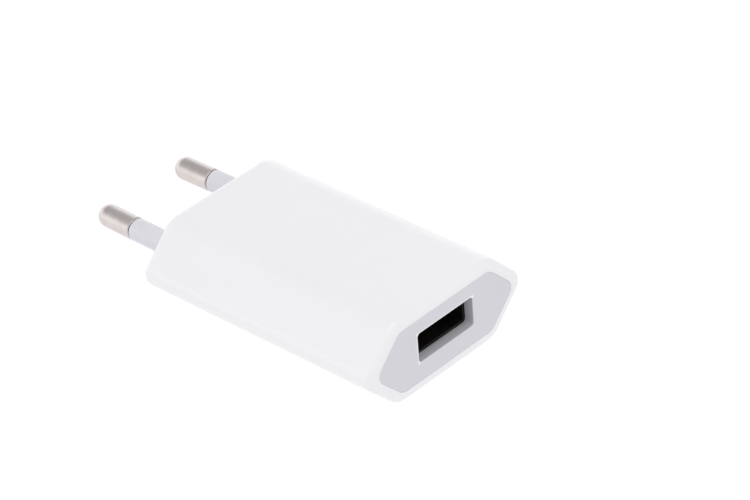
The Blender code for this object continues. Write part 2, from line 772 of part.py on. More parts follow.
def make_chips():
    """The five packages under the board, which face the insulating tray."""
    long = (3.9 * MM, 4.9 * MM, 1.0 * MM)
    square = (3.5 * MM, 3.4 * MM, 1.0 * MM)
    small = (3.0 * MM, 3.0 * MM, 0.9 * MM)
    make_chip("bridge_rectifier", -6.2 * MM, -13.4 * MM, long, 2)
    make_chip("primary_controller", 5.6 * MM, -13.4 * MM, long, 4)
    make_chip("switching_transistor", -5.0 * MM, -23.2 * MM, square, 2)
    make_chip("output_rectifier", 5.0 * MM, -29.4 * MM, square, 2)
    make_chip("port_controller", 0.0, -40.6 * MM, small, 3)


def make_output_capacitors():
    """Two polymer capacitors that lie beside the USB receptacle."""
    radius = OUTPUT_CAPACITOR_RADIUS
    length = OUTPUT_CAPACITOR_LENGTH
    lip = 0.3 * MM
    groove_depth = 0.25 * MM
    profile = [
        (0.0, length),
        (radius - lip, length),
        (radius, length - lip),
        (radius, 1.5 * MM),
        (radius - groove_depth, 1.2 * MM),
        (radius - groove_depth, 0.9 * MM),
        (radius, 0.6 * MM),
        (radius, lip),
        (radius - lip, 0.0),
        (0.0, 0.0),
    ]
    for side, word in ((-1, "left"), (1, "right")):
        can = place(turned("output_capacitor_" + word, profile, 20), POLYMER_CAN)
        can.location = (
            side * OUTPUT_CAPACITOR_X,
            OUTPUT_CAPACITOR_REAR - length,
            LYING + radius,
        )
        can.rotation_euler.x = -math.pi / 2
        smooth(can)


# ---------------------------------------------------------------- USB-A receptacle
def shell_leg_places():
    """Where the receptacle shell's four legs go through the board, as (x, y)."""
    x = SHELL_INSIDE[0] / 2 + SHELL_SHEET / 2 + 0.05 * MM
    return [(side * x, SHELL_FRONT + y) for side in (-1, 1) for y in (3.6 * MM, 10.4 * MM)]


def make_receptacle_shell():
    """The folded steel shell, with a window for each of its four springs and legs into the board."""
    inside_width, inside_height = SHELL_INSIDE

    def ring(grow, radius):
        outline = rounded_rectangle(
            inside_width + 2 * grow, inside_height + 2 * grow, radius, 2
        )
        return [(x, z + PORT_Z) for x, z in outline]

    shell = along_y("usb_shell", ring(SHELL_SHEET, 0.6 * MM), SHELL_FRONT, SHELL_REAR)
    cut(shell, along_y("shell_inside", ring(0.0, 0.3 * MM), SHELL_FRONT - PAST, SHELL_REAR + PAST))
    legs = []
    leg_high = PORT_Z - 1.0 * MM
    for x, y in shell_leg_places():
        legs.append((x, y, (leg_high + LEAD_END) / 2))
    join(shell, boxes("shell_legs", legs, (SHELL_SHEET, 1.4 * MM, leg_high - LEAD_END)))
    windows = []
    middle = SPRING_ROOT_Y + SPRING_LENGTH / 2
    for side in (-1, 1):
        for level in (-1, 1):
            z = PORT_Z + level * (inside_height + SHELL_SHEET) / 2
            windows.append((side * SPRING_X, middle, z))
    size = (SPRING_WIDTH + 2 * GAP, SPRING_LENGTH + 2 * GAP, 4 * SHELL_SHEET)
    cut(shell, boxes("spring_windows", windows, size))
    tail_room = 4.8 * MM
    low, high = PORT_Z - inside_height, PORT_Z - 1.0 * MM
    notch = (-tail_room, TAIL_DROP_Y - 0.7 * MM, low), (tail_room, SHELL_REAR + PAST, high)
    cut(shell, box("tail_notch", *notch))
    place(shell, DARK_STEEL)


def make_shell_springs():
    """Four leaves that grip an inserted plug. Each hangs from its window's front edge."""
    bow = 0.45 * MM
    sheet = 0.25 * MM
    for level, height in ((1, "top"), (-1, "bottom")):
        path = [
            (0.0, 0.0),
            (4.4 * MM, -level * bow),
            (5.2 * MM, -level * bow),
            (SPRING_LENGTH, -level * 0.15 * MM),
        ]
        for side, word in ((-1, "left"), (1, "right")):
            name = "shell_spring_%s_%s" % (height, word)
            leaf = place(ribbon(name, path, SPRING_WIDTH, sheet), DARK_STEEL)
            leaf.location = (
                side * SPRING_X,
                SPRING_ROOT_Y,
                PORT_Z + level * (SHELL_INSIDE[1] + SHELL_SHEET) / 2,
            )


def make_receptacle_insulator():
    """The black moulding: a rear block with the tongue that carries the contacts."""
    side_gap = 0.2 * MM
    half_width = SHELL_INSIDE[0] / 2 - side_gap
    half_height = SHELL_INSIDE[1] / 2 - side_gap
    groove_top = TONGUE_LOW + CONTACT_GROOVE
    insulator = box(
        "usb_insulator",
        (-half_width, BLOCK_FRONT, PORT_Z - half_height),
        (half_width, SHELL_REAR - GAP, PORT_Z + half_height),
    )
    tongue_half = 5.55 * MM
    join(
        insulator,
        box(
            "tongue",
            (-tongue_half, TONGUE_FRONT, TONGUE_LOW),
            (tongue_half, BLOCK_FRONT + PAST, TONGUE_HIGH),
        ),
    )
    groove_front = TONGUE_FRONT + 0.6 * MM
    groove_rear = TAIL_DROP_Y + CONTACT_SHEET / 2 + GAP
    groove_width = CONTACT_WIDTH + 2 * GAP
    grooves = []
    shafts = []
    for x in CONTACT_X:
        grooves.append((x, (groove_front + groove_rear) / 2, groove_top - CONTACT_GROOVE))
        shafts.append((x, groove_rear - 0.6 * MM, PORT_Z - half_height))
    groove_size = (groove_width, groove_rear - groove_front, 2 * CONTACT_GROOVE)
    shaft_size = (groove_width, 1.2 * MM, 2 * (groove_top - PORT_Z + half_height) - 0.4 * MM)
    cut(insulator, boxes("contact_grooves", grooves, groove_size))
    cut(insulator, boxes("tail_shafts", shafts, shaft_size))
    place(insulator, BLACK)


def make_contacts():
    """Four contacts. Each is a tail fixed in the moulding and a springy beam under the tongue."""
    drop = 1.05 * MM
    beam_path = [
        (0.0, 0.0),
        (-5.9 * MM, -drop),
        (-6.5 * MM, -drop + 0.05 * MM),
        (-7.1 * MM, -drop + 0.6 * MM),
    ]
    tail_path = [
        (CONTACT_ROOT_Y + 0.15 * MM, CONTACT_ROOT_Z),
        (TAIL_DROP_Y, CONTACT_ROOT_Z),
        (TAIL_DROP_Y, LEAD_END),
    ]
    for number, x in enumerate(CONTACT_X, 1):
        beam = place(
            ribbon("usb_contact_beam_%d" % number, beam_path, CONTACT_WIDTH, CONTACT_SHEET), GOLD
        )
        beam.location = (x, CONTACT_ROOT_Y, CONTACT_ROOT_Z)
        tail = place(
            ribbon("usb_contact_tail_%d" % number, tail_path, CONTACT_WIDTH, CONTACT_SHEET), GOLD
        )
        tail.location.x = x


make_housing_sleeve()
make_end_cap()
make_pins()
make_pin_carrier()
make_pin_contacts()
make_board()
make_insulating_tray()
make_bulk_capacitors()
make_transformer()
make_side_components()
make_chips()
make_output_capacitors()
make_receptacle_shell()
make_shell_springs()
make_receptacle_insulator()
make_contacts()
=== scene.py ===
"""The looks of a slim USB wall charger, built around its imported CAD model.

The origin is the centre of the plug face. +Y runs out along the plug pins, +Z is up and +X is
across, so the USB port looks along -Y. Every length is in metres.
"""

import json
import math

import bmesh
import bpy
from mathutils import Matrix, Vector


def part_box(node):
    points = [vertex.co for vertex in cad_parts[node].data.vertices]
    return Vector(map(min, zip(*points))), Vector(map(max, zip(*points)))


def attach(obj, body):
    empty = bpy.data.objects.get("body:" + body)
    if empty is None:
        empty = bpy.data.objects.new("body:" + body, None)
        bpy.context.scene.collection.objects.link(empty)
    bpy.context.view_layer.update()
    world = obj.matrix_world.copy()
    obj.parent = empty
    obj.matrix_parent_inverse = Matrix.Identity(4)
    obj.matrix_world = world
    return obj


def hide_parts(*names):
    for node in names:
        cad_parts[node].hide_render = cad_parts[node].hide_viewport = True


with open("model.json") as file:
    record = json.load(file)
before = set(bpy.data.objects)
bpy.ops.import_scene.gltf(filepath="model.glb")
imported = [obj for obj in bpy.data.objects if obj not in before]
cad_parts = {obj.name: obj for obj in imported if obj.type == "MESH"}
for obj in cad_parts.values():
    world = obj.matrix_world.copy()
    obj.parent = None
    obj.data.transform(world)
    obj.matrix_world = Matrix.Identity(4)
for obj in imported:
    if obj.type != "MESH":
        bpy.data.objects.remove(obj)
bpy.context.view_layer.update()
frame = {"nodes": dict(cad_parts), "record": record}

MM = 0.001
SHARP_ANGLE = 35  # degrees: a steeper edge stays hard when a piece is shaded smooth
WELD = 1e-7  # points this close are one
COARSE_WELD = 0.0005 * MM  # the same, for turned profiles and CAD facets
ROUND_STEPS = 64  # facets round a turned piece

# ---------------------------------------------------------------- sizes read from the frame
HOUSING_LOW, HOUSING_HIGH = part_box("housing_sleeve")
CAP_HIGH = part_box("end_cap")[1]
FRONT_Y = HOUSING_LOW.y
HALF_THICKNESS = HOUSING_HIGH.z

# ---------------------------------------------------------------- the housing's cross-section
FLAT_WIDTH = 23.0 * MM  # of a flat face, before its edges are rounded
SHARP_WIDTH = 38.4 * MM  # across the side ridges, before they are rounded
RIDGE_RADIUS = 2.5 * MM
EDGE_RADIUS = 4.3 * MM
WALL = 1.95 * MM
INSIDE_RADII = (WALL + 1.9 * MM, WALL + 2.8 * MM)  # of the cavity, before its inset
SLOPE = math.atan2(2 * HALF_THICKNESS, SHARP_WIDTH - FLAT_WIDTH)

REAR_ROUND = 1.2 * MM
RIM_DEPTH = 1.0 * MM  # the front rim runs this far back along the sides
RIM_SLOPE = 4.0  # degrees, where the rim leaves the plate
RIM_RUN = 1.4 * MM
RIM_SHOULDER = 0.6 * MM
PLATE_SINK = 0.03 * MM

# ---------------------------------------------------------------- pins and port
PIN_X = 9.3 * MM
PIN_LEAN = math.atan2(0.3, 19.0)
PIN_RADIUS = 2.0 * MM
PIN_LENGTH = 19.0 * MM
PIN_CLEARANCE = 0.07 * MM  # round a pin, in the plug face
SLEEVE_LENGTH = 10.6 * MM
PORT_Z = 0.45 * MM
OPENING_Z = 0.38 * MM  # of the opening in the plate, whose upper edge sits a little low
PORT_WIDTH = 13.0 * MM
PORT_HEIGHT = 5.46 * MM
PORT_CORNER = 0.6 * MM
PLATE_BACK = FRONT_Y + 1.9 * MM

# ---------------------------------------------------------------- components on the board
BULK_LOW, BULK_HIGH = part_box("bulk_capacitor_right")
BULK_X = (BULK_LOW.x + BULK_HIGH.x) / 2
BULK_Z = (BULK_LOW.z + BULK_HIGH.z) / 2
BULK_REAR = BULK_HIGH.y


# ---------------------------------------------------------------- mesh helpers
def rounded(corners, radii, steps):
    """The outline of a convex polygon, counter-clockwise, with its corners rounded by arcs."""
    points = []
    for index, corner in enumerate(corners):
        corner = Vector(corner)
        before = (Vector(corners[index - 1]) - corner).normalized()
        after = (Vector(corners[(index + 1) % len(corners)]) - corner).normalized()
        half_angle = before.angle(after) / 2
        bisector = (before + after).normalized()
        centre = corner + bisector * radii[index] / math.sin(half_angle)
        sweep = math.pi - 2 * half_angle
        outward = -bisector * radii[index]
        for step in range(steps + 1):
            turn = Matrix.Rotation(sweep * (step / steps - 0.5), 2)
            points.append(centre + turn @ outward)
    return points


def hexagon(inset, radii=(RIDGE_RADIUS, EDGE_RADIUS)):
    """The housing's cross-section in X and Z, moved inwards by inset."""
    high = HALF_THICKNESS - inset
    ridge = SHARP_WIDTH / 2 - inset / math.sin(SLOPE)
    edge = ridge - high / math.tan(SLOPE)
    corners = [(ridge, 0), (edge, high), (-edge, high)]
    corners += [(-ridge, 0), (-edge, -high), (edge, -high)]
    least = 0.3 * MM
    steps = 18
    ridge, edge = (max(radius - inset, least) for radius in radii)
    return rounded(corners, [ridge, edge, edge] * 2, steps)


def rectangle(width, height, radius, centre_z=0.0, steps=8):
    """The outline of a rectangle in X and Z with rounded corners."""
    x, z = width / 2, height / 2
    outline = rounded([(x, -z), (x, z), (-x, z), (-x, -z)], [radius] * 4, steps)
    return [(px, pz + centre_z) for px, pz in outline]


def finished(name, mesh_data, look, *nodes, slot, body="charger", sharp=SHARP_ANGLE):
    """A piece from a bmesh: shaded smooth, riding on its body, in place of its CAD nodes."""
    bmesh.ops.remove_doubles(mesh_data, verts=mesh_data.verts, dist=WELD)
    bmesh.ops.recalc_face_normals(mesh_data, faces=mesh_data.faces)
    mesh = bpy.data.meshes.new(name)
    mesh_data.to_mesh(mesh)
    mesh_data.free()
    obj = bpy.data.objects.new(name, mesh)
    bpy.context.scene.collection.objects.link(obj)
    mesh.materials.append(look)
    dress(obj, sharp)
    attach(obj, body)
    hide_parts(*nodes)
    return obj


def dress(obj, sharp):
    """Smooth shading that keeps flat faces flat."""
    obj.data.shade_smooth()
    obj.data.set_sharp_from_angle(angle=math.radians(sharp))
    weighted = obj.modifiers.new("weighted", "WEIGHTED_NORMAL")
    weighted.weight = 100
    weighted.keep_sharp = True


def loft(mesh_data, rings, closed=True, loop=False):
    """Skins equal rings of points with quads. The ends are closed, or meet in a loop."""
    made = [[mesh_data.verts.new(point) for point in ring] for ring in rings]
    pairs = list(zip(made, made[1:]))
    if loop:
        pairs.append((made[-1], made[0]))
    count = len(made[0])
    for first, second in pairs:
        for index in range(count):
            after = (index + 1) % count
            mesh_data.faces.new((first[index], first[after], second[after], second[index]))
    if closed and not loop:
        mesh_data.faces.new(made[0])
        mesh_data.faces.new(list(reversed(made[-1])))
    return made


def at_y(outline, y):
    """An outline in X and Z, stood up at y."""
    return [(x, y, z) for x, z in outline]


def quarter(radius, steps):
    """Insets and depths of a rounded edge, from its end face to its side."""
    angles = [math.pi / 2 * step / steps for step in range(steps + 1)]
    return [(radius * (1 - math.sin(t)), radius * (1 - math.cos(t))) for t in angles]


def turned(profile, place):
    """A bmesh turned about Y from (radius, y) pairs, from tip to root, then put in place."""
    angles = [math.tau * step / ROUND_STEPS for step in range(ROUND_STEPS)]
    mesh_data = bmesh.new()
    rings = []
    for radius, y in profile:
        points = [(radius * math.cos(t), y, radius * math.sin(t)) for t in angles]
        if radius == 0.0:
            points = [(0, y, 0)]
        rings.append([mesh_data.verts.new(point) for point in points])
    for first, second in zip(rings, rings[1:]):
        for index in range(ROUND_STEPS):
            after = (index + 1) % ROUND_STEPS
            if len(first) == 1:
                mesh_data.faces.new((first[0], second[after], second[index]))
            elif len(second) == 1:
                mesh_data.faces.new((first[index], first[after], second[0]))
            else:
                mesh_data.faces.new((first[index], first[after], second[after], second[index]))
    bmesh.ops.remove_doubles(mesh_data, verts=mesh_data.verts, dist=COARSE_WELD)
    bmesh.ops.transform(mesh_data, matrix=place, verts=mesh_data.verts)
    return mesh_data


def block(mesh_data, low, high, bevel=0.0):
    """Adds a box with rounded edges."""
    low, high = Vector(low), Vector(high)
    scale = Matrix.Diagonal((*(high - low), 1.0))
    made = bmesh.ops.create_cube(
        mesh_data, size=1.0, matrix=Matrix.Translation((low + high) / 2) @ scale
    )
    if bevel:
        edges = {edge for vert in made["verts"] for edge in vert.link_edges}
        bmesh.ops.bevel(
            mesh_data, geom=list(edges), offset=bevel, segments=3, profile=0.5, affect="EDGES"
        )


def carve(obj, *steps, sharp=SHARP_ANGLE):
    """Cuts bmeshes out of a piece, or joins them to it: each step is (operation, bmesh)."""
    obj.modifiers.clear()
    tools = []
    for operation, tool_data in steps:
        mesh = bpy.data.meshes.new("tool")
        tool_data.to_mesh(mesh)
        tool_data.free()
        tool = bpy.data.objects.new("tool", mesh)
        bpy.context.scene.collection.objects.link(tool)
        tools.append(tool)
        change = obj.modifiers.new("change", "BOOLEAN")
        change.object = tool
        change.operation = operation
        change.solver = "EXACT"
    graph = bpy.context.evaluated_depsgraph_get()
    obj_mesh = bpy.data.meshes.new_from_object(obj.evaluated_get(graph))
    obj.modifiers.clear()
    obj.data = obj_mesh
    for tool in tools:
        bpy.data.objects.remove(tool)
    dress(obj, sharp)


def smooth_path(points, steps=6):
    """A Catmull-Rom curve through points in Y and Z, as Vectors."""
    points = [Vector(point) for point in points]
    ends = [2 * points[0] - points[1], *points, 2 * points[-1] - points[-2]]
    path = []
    for index in range(1, len(ends) - 2):
        before, start, end, after = ends[index - 1 : index + 3]
        for step in range(steps):
            t = step / steps
            path.append(
                0.5
                * (
                    2 * start
                    + (end - before) * t
                    + (2 * before - 5 * start + 4 * end - after) * t**2
                    + (3 * start - before - 3 * end + after) * t**3
                )
            )
    return [*path, points[-1]]


def strip(path, width, thickness, x):
    """A bmesh of bent sheet metal with rounded edges: path is its side view in Y and Z."""
    section = rectangle(width, thickness, 0.35 * thickness, steps=2)
    rings = []
    for index, point in enumerate(path):
        before = path[max(index - 1, 0)]
        after = path[min(index + 1, len(path) - 1)]
        along = (after - before).normalized()
        normal = Vector((-along.y, along.x))
        rings.append([(x + u, *(point + normal * v)) for u, v in section])
    made = bmesh.new()
    loft(made, rings)
    return made


def bent(radius, y, bend, steps):
    """A rounded outer edge at y, in falling y. A negative bend closes the low end."""
    points = []
    for step in range(steps + 1):
        turn = math.pi / 2 * step / steps
        away, along = 1 - math.sin(turn), 1 - math.cos(turn)
        if bend > 0:
            points.append((radius - bend * away, y - bend * along))
        else:
            points.append((radius + bend * along, y - bend * away))
    return points


def groove(radius, y, depth, half, steps):
    """A round groove in a side wall, as (radius, y) points in falling y."""
    points = []
    for step in range(steps + 1):
        turn = math.tau * step / steps
        deep = depth * (1 - math.cos(turn)) / 2
        points.append((radius - deep, y + half * (1 - 2 * step / steps)))
    return points


def turns(radius, length, count):
    """The side of a coil of round wire, as (radius, y) points in falling y."""
    wire = length / count / 2
    steps = 5
    points = []
    for number in range(count):
        middle = length - (2 * number + 1) * wire
        for step in range(steps):
            angle = math.pi * (step + 0.5) / steps
            inset = wire * (1 - math.sin(angle))
            points.append((radius - inset, middle + wire * math.cos(angle)))
    return points


def cross(reach, half_width):
    """The outline of a cross whose two bars lie at 45 degrees."""
    outline = []
    for quarter_turn in range(4):
        turn = Matrix.Rotation(math.pi / 4 + math.pi / 2 * quarter_turn, 2)
        for point in ((reach, -half_width), (reach, half_width), (half_width, half_width)):
            outline.append(tuple(turn @ Vector(point)))
    return outline


def lying(node):
    """The low end's matrix, radius and length of a round component that lies along Y."""
    low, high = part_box(node)
    place = Matrix.Translation(((low.x + high.x) / 2, low.y, (low.z + high.z) / 2))
    return place, (high.z - low.z) / 2, high.y - low.y


# ---------------------------------------------------------------- materials
class Look:
    """A Principled material that is built up node by node, in object coordinates."""

    def __init__(self, name, metallic=0.0):
        self.material = bpy.data.materials.new(name)
        self.material.use_nodes = True
        self.nodes = self.material.node_tree.nodes
        self.links = self.material.node_tree.links
        self.shader = self.nodes["Principled BSDF"]
        self.shader.inputs["Metallic"].default_value = metallic
        self.coordinates = self.nodes.new("ShaderNodeTexCoord").outputs["Object"]
        self.bump = None

    def stretched(self, scale):
        """Coordinates with their own scale along each axis."""
        mapping = self.nodes.new("ShaderNodeMapping")
        mapping.inputs["Scale"].default_value = scale
        self.links.new(self.coordinates, mapping.inputs["Vector"])
        return mapping.outputs["Vector"]

    def noise(self, size, detail=3.0, roughness=0.5, along=None):
        """Noise with features of about this size in metres."""
        node = self.nodes.new("ShaderNodeTexNoise")
        node.inputs["Scale"].default_value = 1.0 / size
        node.inputs["Detail"].default_value = detail
        node.inputs["Roughness"].default_value = roughness
        self.links.new(along or self.coordinates, node.inputs["Vector"])
        return node.outputs["Fac"]

    def ranged(self, value, low, high, from_low=0.3, from_high=0.7):
        """A value spread between low and high. Noise lies mostly between 0.3 and 0.7."""
        node = self.nodes.new("ShaderNodeMapRange")
        node.inputs["From Min"].default_value = from_low
        node.inputs["From Max"].default_value = from_high
        node.inputs["To Min"].default_value = low
        node.inputs["To Max"].default_value = high
        self.links.new(value, node.inputs["Value"])
        return node.outputs["Result"]

    def split(self):
        """The X, Y and Z of a point, as outputs."""
        node = self.nodes.new("ShaderNodeSeparateXYZ")
        self.links.new(self.coordinates, node.inputs["Vector"])
        return node.outputs

    def compute(self, operation, first, second=0.0):
        """One step of arithmetic on numbers or outputs."""
        node = self.nodes.new("ShaderNodeMath")
        node.operation = operation
        for value, socket in zip((first, second), node.inputs):
            if isinstance(value, float):
                socket.default_value = value
            else:
                self.links.new(value, socket)
        return node.outputs["Value"]

    def mixed(self, factor, first, second):
        """A colour between two, which may be colours or outputs."""
        node = self.nodes.new("ShaderNodeMix")
        node.data_type = "RGBA"
        self.links.new(factor, node.inputs["Factor"])
        for socket, value in (("A", first), ("B", second)):
            target = next(s for s in node.inputs if s.name == socket and s.type == "RGBA")
            if isinstance(value, tuple):
                target.default_value = (*value, 1.0)
            else:
                self.links.new(value, target)
        return next(s for s in node.outputs if s.type == "RGBA")

    def colour(self, output):
        self.links.new(output, self.shader.inputs["Base Color"])

    def roughness(self, output):
        self.links.new(output, self.shader.inputs["Roughness"])

    def relief(self, height, depth, strength):
        """Adds bump of this depth in metres, on top of what is there."""
        node = self.nodes.new("ShaderNodeBump")
        node.inputs["Strength"].default_value = strength
        node.inputs["Distance"].default_value = depth
        self.links.new(height, node.inputs["Height"])
        if self.bump:
            self.links.new(self.bump, node.inputs["Normal"])
        self.bump = node.outputs["Normal"]
        self.links.new(self.bump, self.shader.inputs["Normal"])


def make_white_plastic():
    """Glossy white polycarbonate, with a hint of tint and a slightly uneven polish."""
    look = Look("white_polycarbonate")
    tint = look.ranged(look.noise(14 * MM, 4.0), 0.0, 1.0)
    look.colour(look.mixed(tint, (0.880, 0.880, 0.888), (0.895, 0.893, 0.900)))
    look.roughness(look.ranged(look.noise(6 * MM, 3.0), 0.23, 0.26))
    return look.material


def make_cap_plastic():
    """The end cap's greyer white, with a painted highlight along its port's top and left edges
    and painted shade on the port's inner walls.
    """
    look = Look("grey_white_cap")
    apart = look.split()
    compute = look.compute
    across = compute("ABSOLUTE", apart["X"])
    up = compute("ABSOLUTE", compute("SUBTRACT", apart["Z"], OPENING_Z))
    outside = compute(
        "MAXIMUM",
        compute("SUBTRACT", across, PORT_WIDTH / 2),
        compute("SUBTRACT", up, PORT_HEIGHT / 2),
    )
    lit_side = compute(
        "MAXIMUM",
        compute("SUBTRACT", compute("MULTIPLY", apart["X"], -1.0), PORT_WIDTH / 2),
        compute("SUBTRACT", apart["Z"], OPENING_Z + PORT_HEIGHT / 2),
    )
    near_port = look.ranged(outside, 1.0, 0.0, 0.16 * MM, 0.30 * MM)
    lit_side = look.ranged(lit_side, 0.0, 1.0, -0.3 * MM, 0.0)
    # Painted shade: the port's inner walls, just behind the plate's face, turn darker.
    depth = look.ranged(apart["Y"], 0.0, 1.0, FRONT_Y + 0.12 * MM, FRONT_Y + 0.2 * MM)
    tint = look.ranged(look.noise(14 * MM, 4.0), 0.0, 1.0)
    plain = look.mixed(tint, CAP_DARK, CAP_LIGHT)
    # Painted highlight: a near-white band on the port's rounded edge and the plate beside it,
    # along the top and left edges only.
    painted_rim_highlight = look.mixed(compute("MULTIPLY", near_port, lit_side), plain, (0.97, 0.97, 0.97))
    look.colour(look.mixed(depth, painted_rim_highlight, CAP_PAINTED_SHADE))
    look.roughness(look.ranged(look.noise(4 * MM, 4.0), 0.30, 0.37))
    return look.material


def make_sleeve_plastic():
    """Matt grey insulation, moulded on the pins."""
    look = Look("pin_insulation")
    tint = look.ranged(look.noise(3 * MM, 4.0), 0.0, 1.0)
    look.colour(look.mixed(tint, (0.685, 0.68, 0.715), (0.73, 0.725, 0.75)))
    look.roughness(look.ranged(look.noise(0.8 * MM, 4.0), 0.36, 0.48))
    look.relief(look.noise(0.25 * MM, 3.0), 0.004 * MM, 0.3)
    return look.material


def make_nickel():
    """Bright nickel over turned brass: fine rings from the lathe and light handling marks."""
    look = Look("nickel_plate", 1.0)
    tint = look.ranged(look.noise(1.5 * MM, 4.0), 0.0, 1.0)
    look.colour(look.mixed(tint, (0.65, 0.605, 0.575), (0.71, 0.665, 0.635)))
    rings = look.noise(0.6 * MM, 3.0, 0.6, look.stretched((0.05, 12.0, 0.05)))
    look.roughness(look.ranged(rings, 0.30, 0.38))
    look.relief(rings, 0.0006 * MM, 0.1)
    scuffs = look.noise(0.5 * MM, 6.0, 0.7, look.stretched((4.0, 0.4, 4.0)))
    look.relief(look.ranged(scuffs, 0.0, 1.0, 0.55, 0.75), 0.002 * MM, 0.3)
    return look.material


def make_metal(name, dark, light, roughness):
    """Bare metal, finely brushed along Y."""
    look = Look(name, 1.0)
    tint = look.ranged(look.noise(1.2 * MM, 4.0), 0.0, 1.0)
    look.colour(look.mixed(tint, dark, light))
    brushed = look.noise(0.15 * MM, 3.0, 0.6, look.stretched((1.0, 0.12, 1.0)))
    look.roughness(look.ranged(brushed, roughness - 0.06, roughness + 0.08))
    look.relief(brushed, 0.002 * MM, 0.3)
    return look.material


def make_plastic(name, dark, light, roughness, grain=0.2, depth=0.004):
    """A plain surface whose texture has this grain and depth in millimetres."""
    look = Look(name)
    tint = look.ranged(look.noise(1.5 * MM, 5.0, 0.6), 0.0, 1.0)
    look.colour(look.mixed(tint, dark, light))
    texture = look.noise(grain * MM, 4.0, 0.6)
    look.roughness(look.ranged(texture, roughness - 0.07, roughness + 0.07))
    look.relief(texture, depth * MM, 0.5)
    return look.material


def make_board_laminate():
    """Green solder mask: lighter over the copper areas, darker in the gaps between them."""
    look = Look("board_laminate")
    nearest = []
    for feature in ("F1", "F2"):
        cells = look.nodes.new("ShaderNodeTexVoronoi")
        cells.feature = feature
        cells.distance = "MANHATTAN"
        cells.inputs["Scale"].default_value = 1.0 / (7 * MM)
        look.links.new(look.coordinates, cells.inputs["Vector"])
        nearest.append(cells.outputs["Distance"])
    gap = look.compute("SUBTRACT", nearest[1], nearest[0])
    copper = look.ranged(gap, 0.0, 1.0, 0.05, 0.08)
    weave = look.noise(0.4 * MM, 3.0)
    tint = look.ranged(weave, 0.0, 1.0)
    mask = look.mixed(tint, (0.024, 0.17, 0.065), (0.032, 0.20, 0.08))
    look.colour(look.mixed(copper, (0.012, 0.085, 0.035), mask))
    look.roughness(look.ranged(weave, 0.28, 0.42))
    look.relief(copper, 0.03 * MM, 0.6)
    look.relief(weave, 0.005 * MM, 0.4)
    return look.material


def make_can_sleeve():
    """Dark shrink sleeve with a pale polarity stripe, over a can that shows at its end."""
    look = Look("capacitor_sleeve")
    apart = look.split()
    texture = look.noise(0.3 * MM, 4.0)
    side = look.compute("SUBTRACT", look.compute("ABSOLUTE", apart["X"]), BULK_X)
    stripe = look.ranged(look.compute("ABSOLUTE", side), 1.0, 0.0, 0.95 * MM, 1.0 * MM)
    above = look.ranged(apart["Z"], 0.0, 1.0, BULK_Z, BULK_Z + 0.1 * MM)
    bare = look.ranged(apart["Y"], 0.0, 1.0, BULK_REAR - 0.28 * MM, BULK_REAR - 0.22 * MM)
    tint = look.ranged(texture, 0.0, 1.0)
    sleeve = look.mixed(tint, (0.012, 0.014, 0.02), (0.022, 0.025, 0.034))
    marked = look.mixed(look.compute("MULTIPLY", stripe, above), sleeve, (0.52, 0.54, 0.56))
    look.colour(look.mixed(bare, marked, (0.70, 0.71, 0.72)))
    look.links.new(bare, look.shader.inputs["Metallic"])
    look.roughness(look.ranged(texture, 0.26, 0.40))
    look.relief(texture, 0.003 * MM, 0.4)
    return look.material


def make_resistor_coat():
    """Green lacquer with plain colour bands."""
    look = Look("resistor_coat")
    apart = look.split()
    low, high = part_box("fusible_resistor")
    texture = look.noise(0.3 * MM, 4.0, 0.6)
    shade = look.mixed(look.ranged(texture, 0.0, 1.0), (0.06, 0.20, 0.12), (0.09, 0.27, 0.17))
    brown, black, gold = (0.35, 0.16, 0.05), (0.02, 0.02, 0.02), (0.55, 0.42, 0.12)
    for share, tint in ((0.2, brown), (0.36, black), (0.52, brown), (0.8, gold)):
        middle = low.y + share * (high.y - low.y)
        away = look.compute("ABSOLUTE", look.compute("SUBTRACT", apart["Y"], middle))
        shade = look.mixed(look.ranged(away, 1.0, 0.0, 0.26 * MM, 0.29 * MM), shade, tint)
    look.colour(shade)
    look.roughness(look.ranged(texture, 0.34, 0.48))
    look.relief(texture, 0.02 * MM, 0.5)
    return look.material


def make_floor_look():
    """Pale paper that glows, so that the floor keeps hardly any shadow."""
    look = Look("paper")
    look.shader.inputs["Roughness"].default_value = 0.6
    look.colour(look.mixed(look.noise(0.2, 3.0), (0.11, 0.11, 0.11), (0.13, 0.13, 0.13)))
    look.shader.inputs["Emission Color"].default_value = (0.985, 0.975, 1.0, 1.0)
    look.shader.inputs["Emission Strength"].default_value = 0.9
    return look.material


CAP_DARK = (0.675, 0.667, 0.705)
CAP_LIGHT = (0.690, 0.682, 0.715)
CAP_PAINTED_SHADE = (0.56, 0.555, 0.58)  # painted shade for the port's inner walls, darker than the plate
WHITE = make_white_plastic()
CAP_WHITE = make_cap_plastic()
INSULATION = make_sleeve_plastic()
NICKEL = make_nickel()
# The receptacle's steel is far darker than bare steel: painted shade, so that the inside of the
# port reads dark.
SHADE_DARKENED_STEEL = make_metal("receptacle_steel", (0.07, 0.067, 0.064), (0.10, 0.097, 0.094), 0.44)
GOLD = make_metal("gold_plate", (0.66, 0.46, 0.16), (0.80, 0.58, 0.24), 0.26)
CAN_ALUMINIUM = make_metal("polymer_can", (0.60, 0.61, 0.62), (0.72, 0.73, 0.74), 0.32)
BLACK = make_plastic("black_plastic", (0.004, 0.004, 0.004), (0.010, 0.010, 0.011), 0.5)
BRACKET = make_plastic("bracket_plastic", (0.42, 0.42, 0.43), (0.50, 0.50, 0.51), 0.5)
FILM = make_plastic("insulating_film", (0.68, 0.58, 0.38), (0.78, 0.68, 0.47), 0.38)
CAN_SLEEVE = make_can_sleeve()
RUBBER = make_plastic("rubber_seal", (0.018, 0.018, 0.018), (0.035, 0.034, 0.033), 0.78)
FERRITE = make_plastic(
    "ferrite", (0.030, 0.030, 0.034), (0.055, 0.055, 0.060), 0.62, grain=0.12, depth=0.02
)
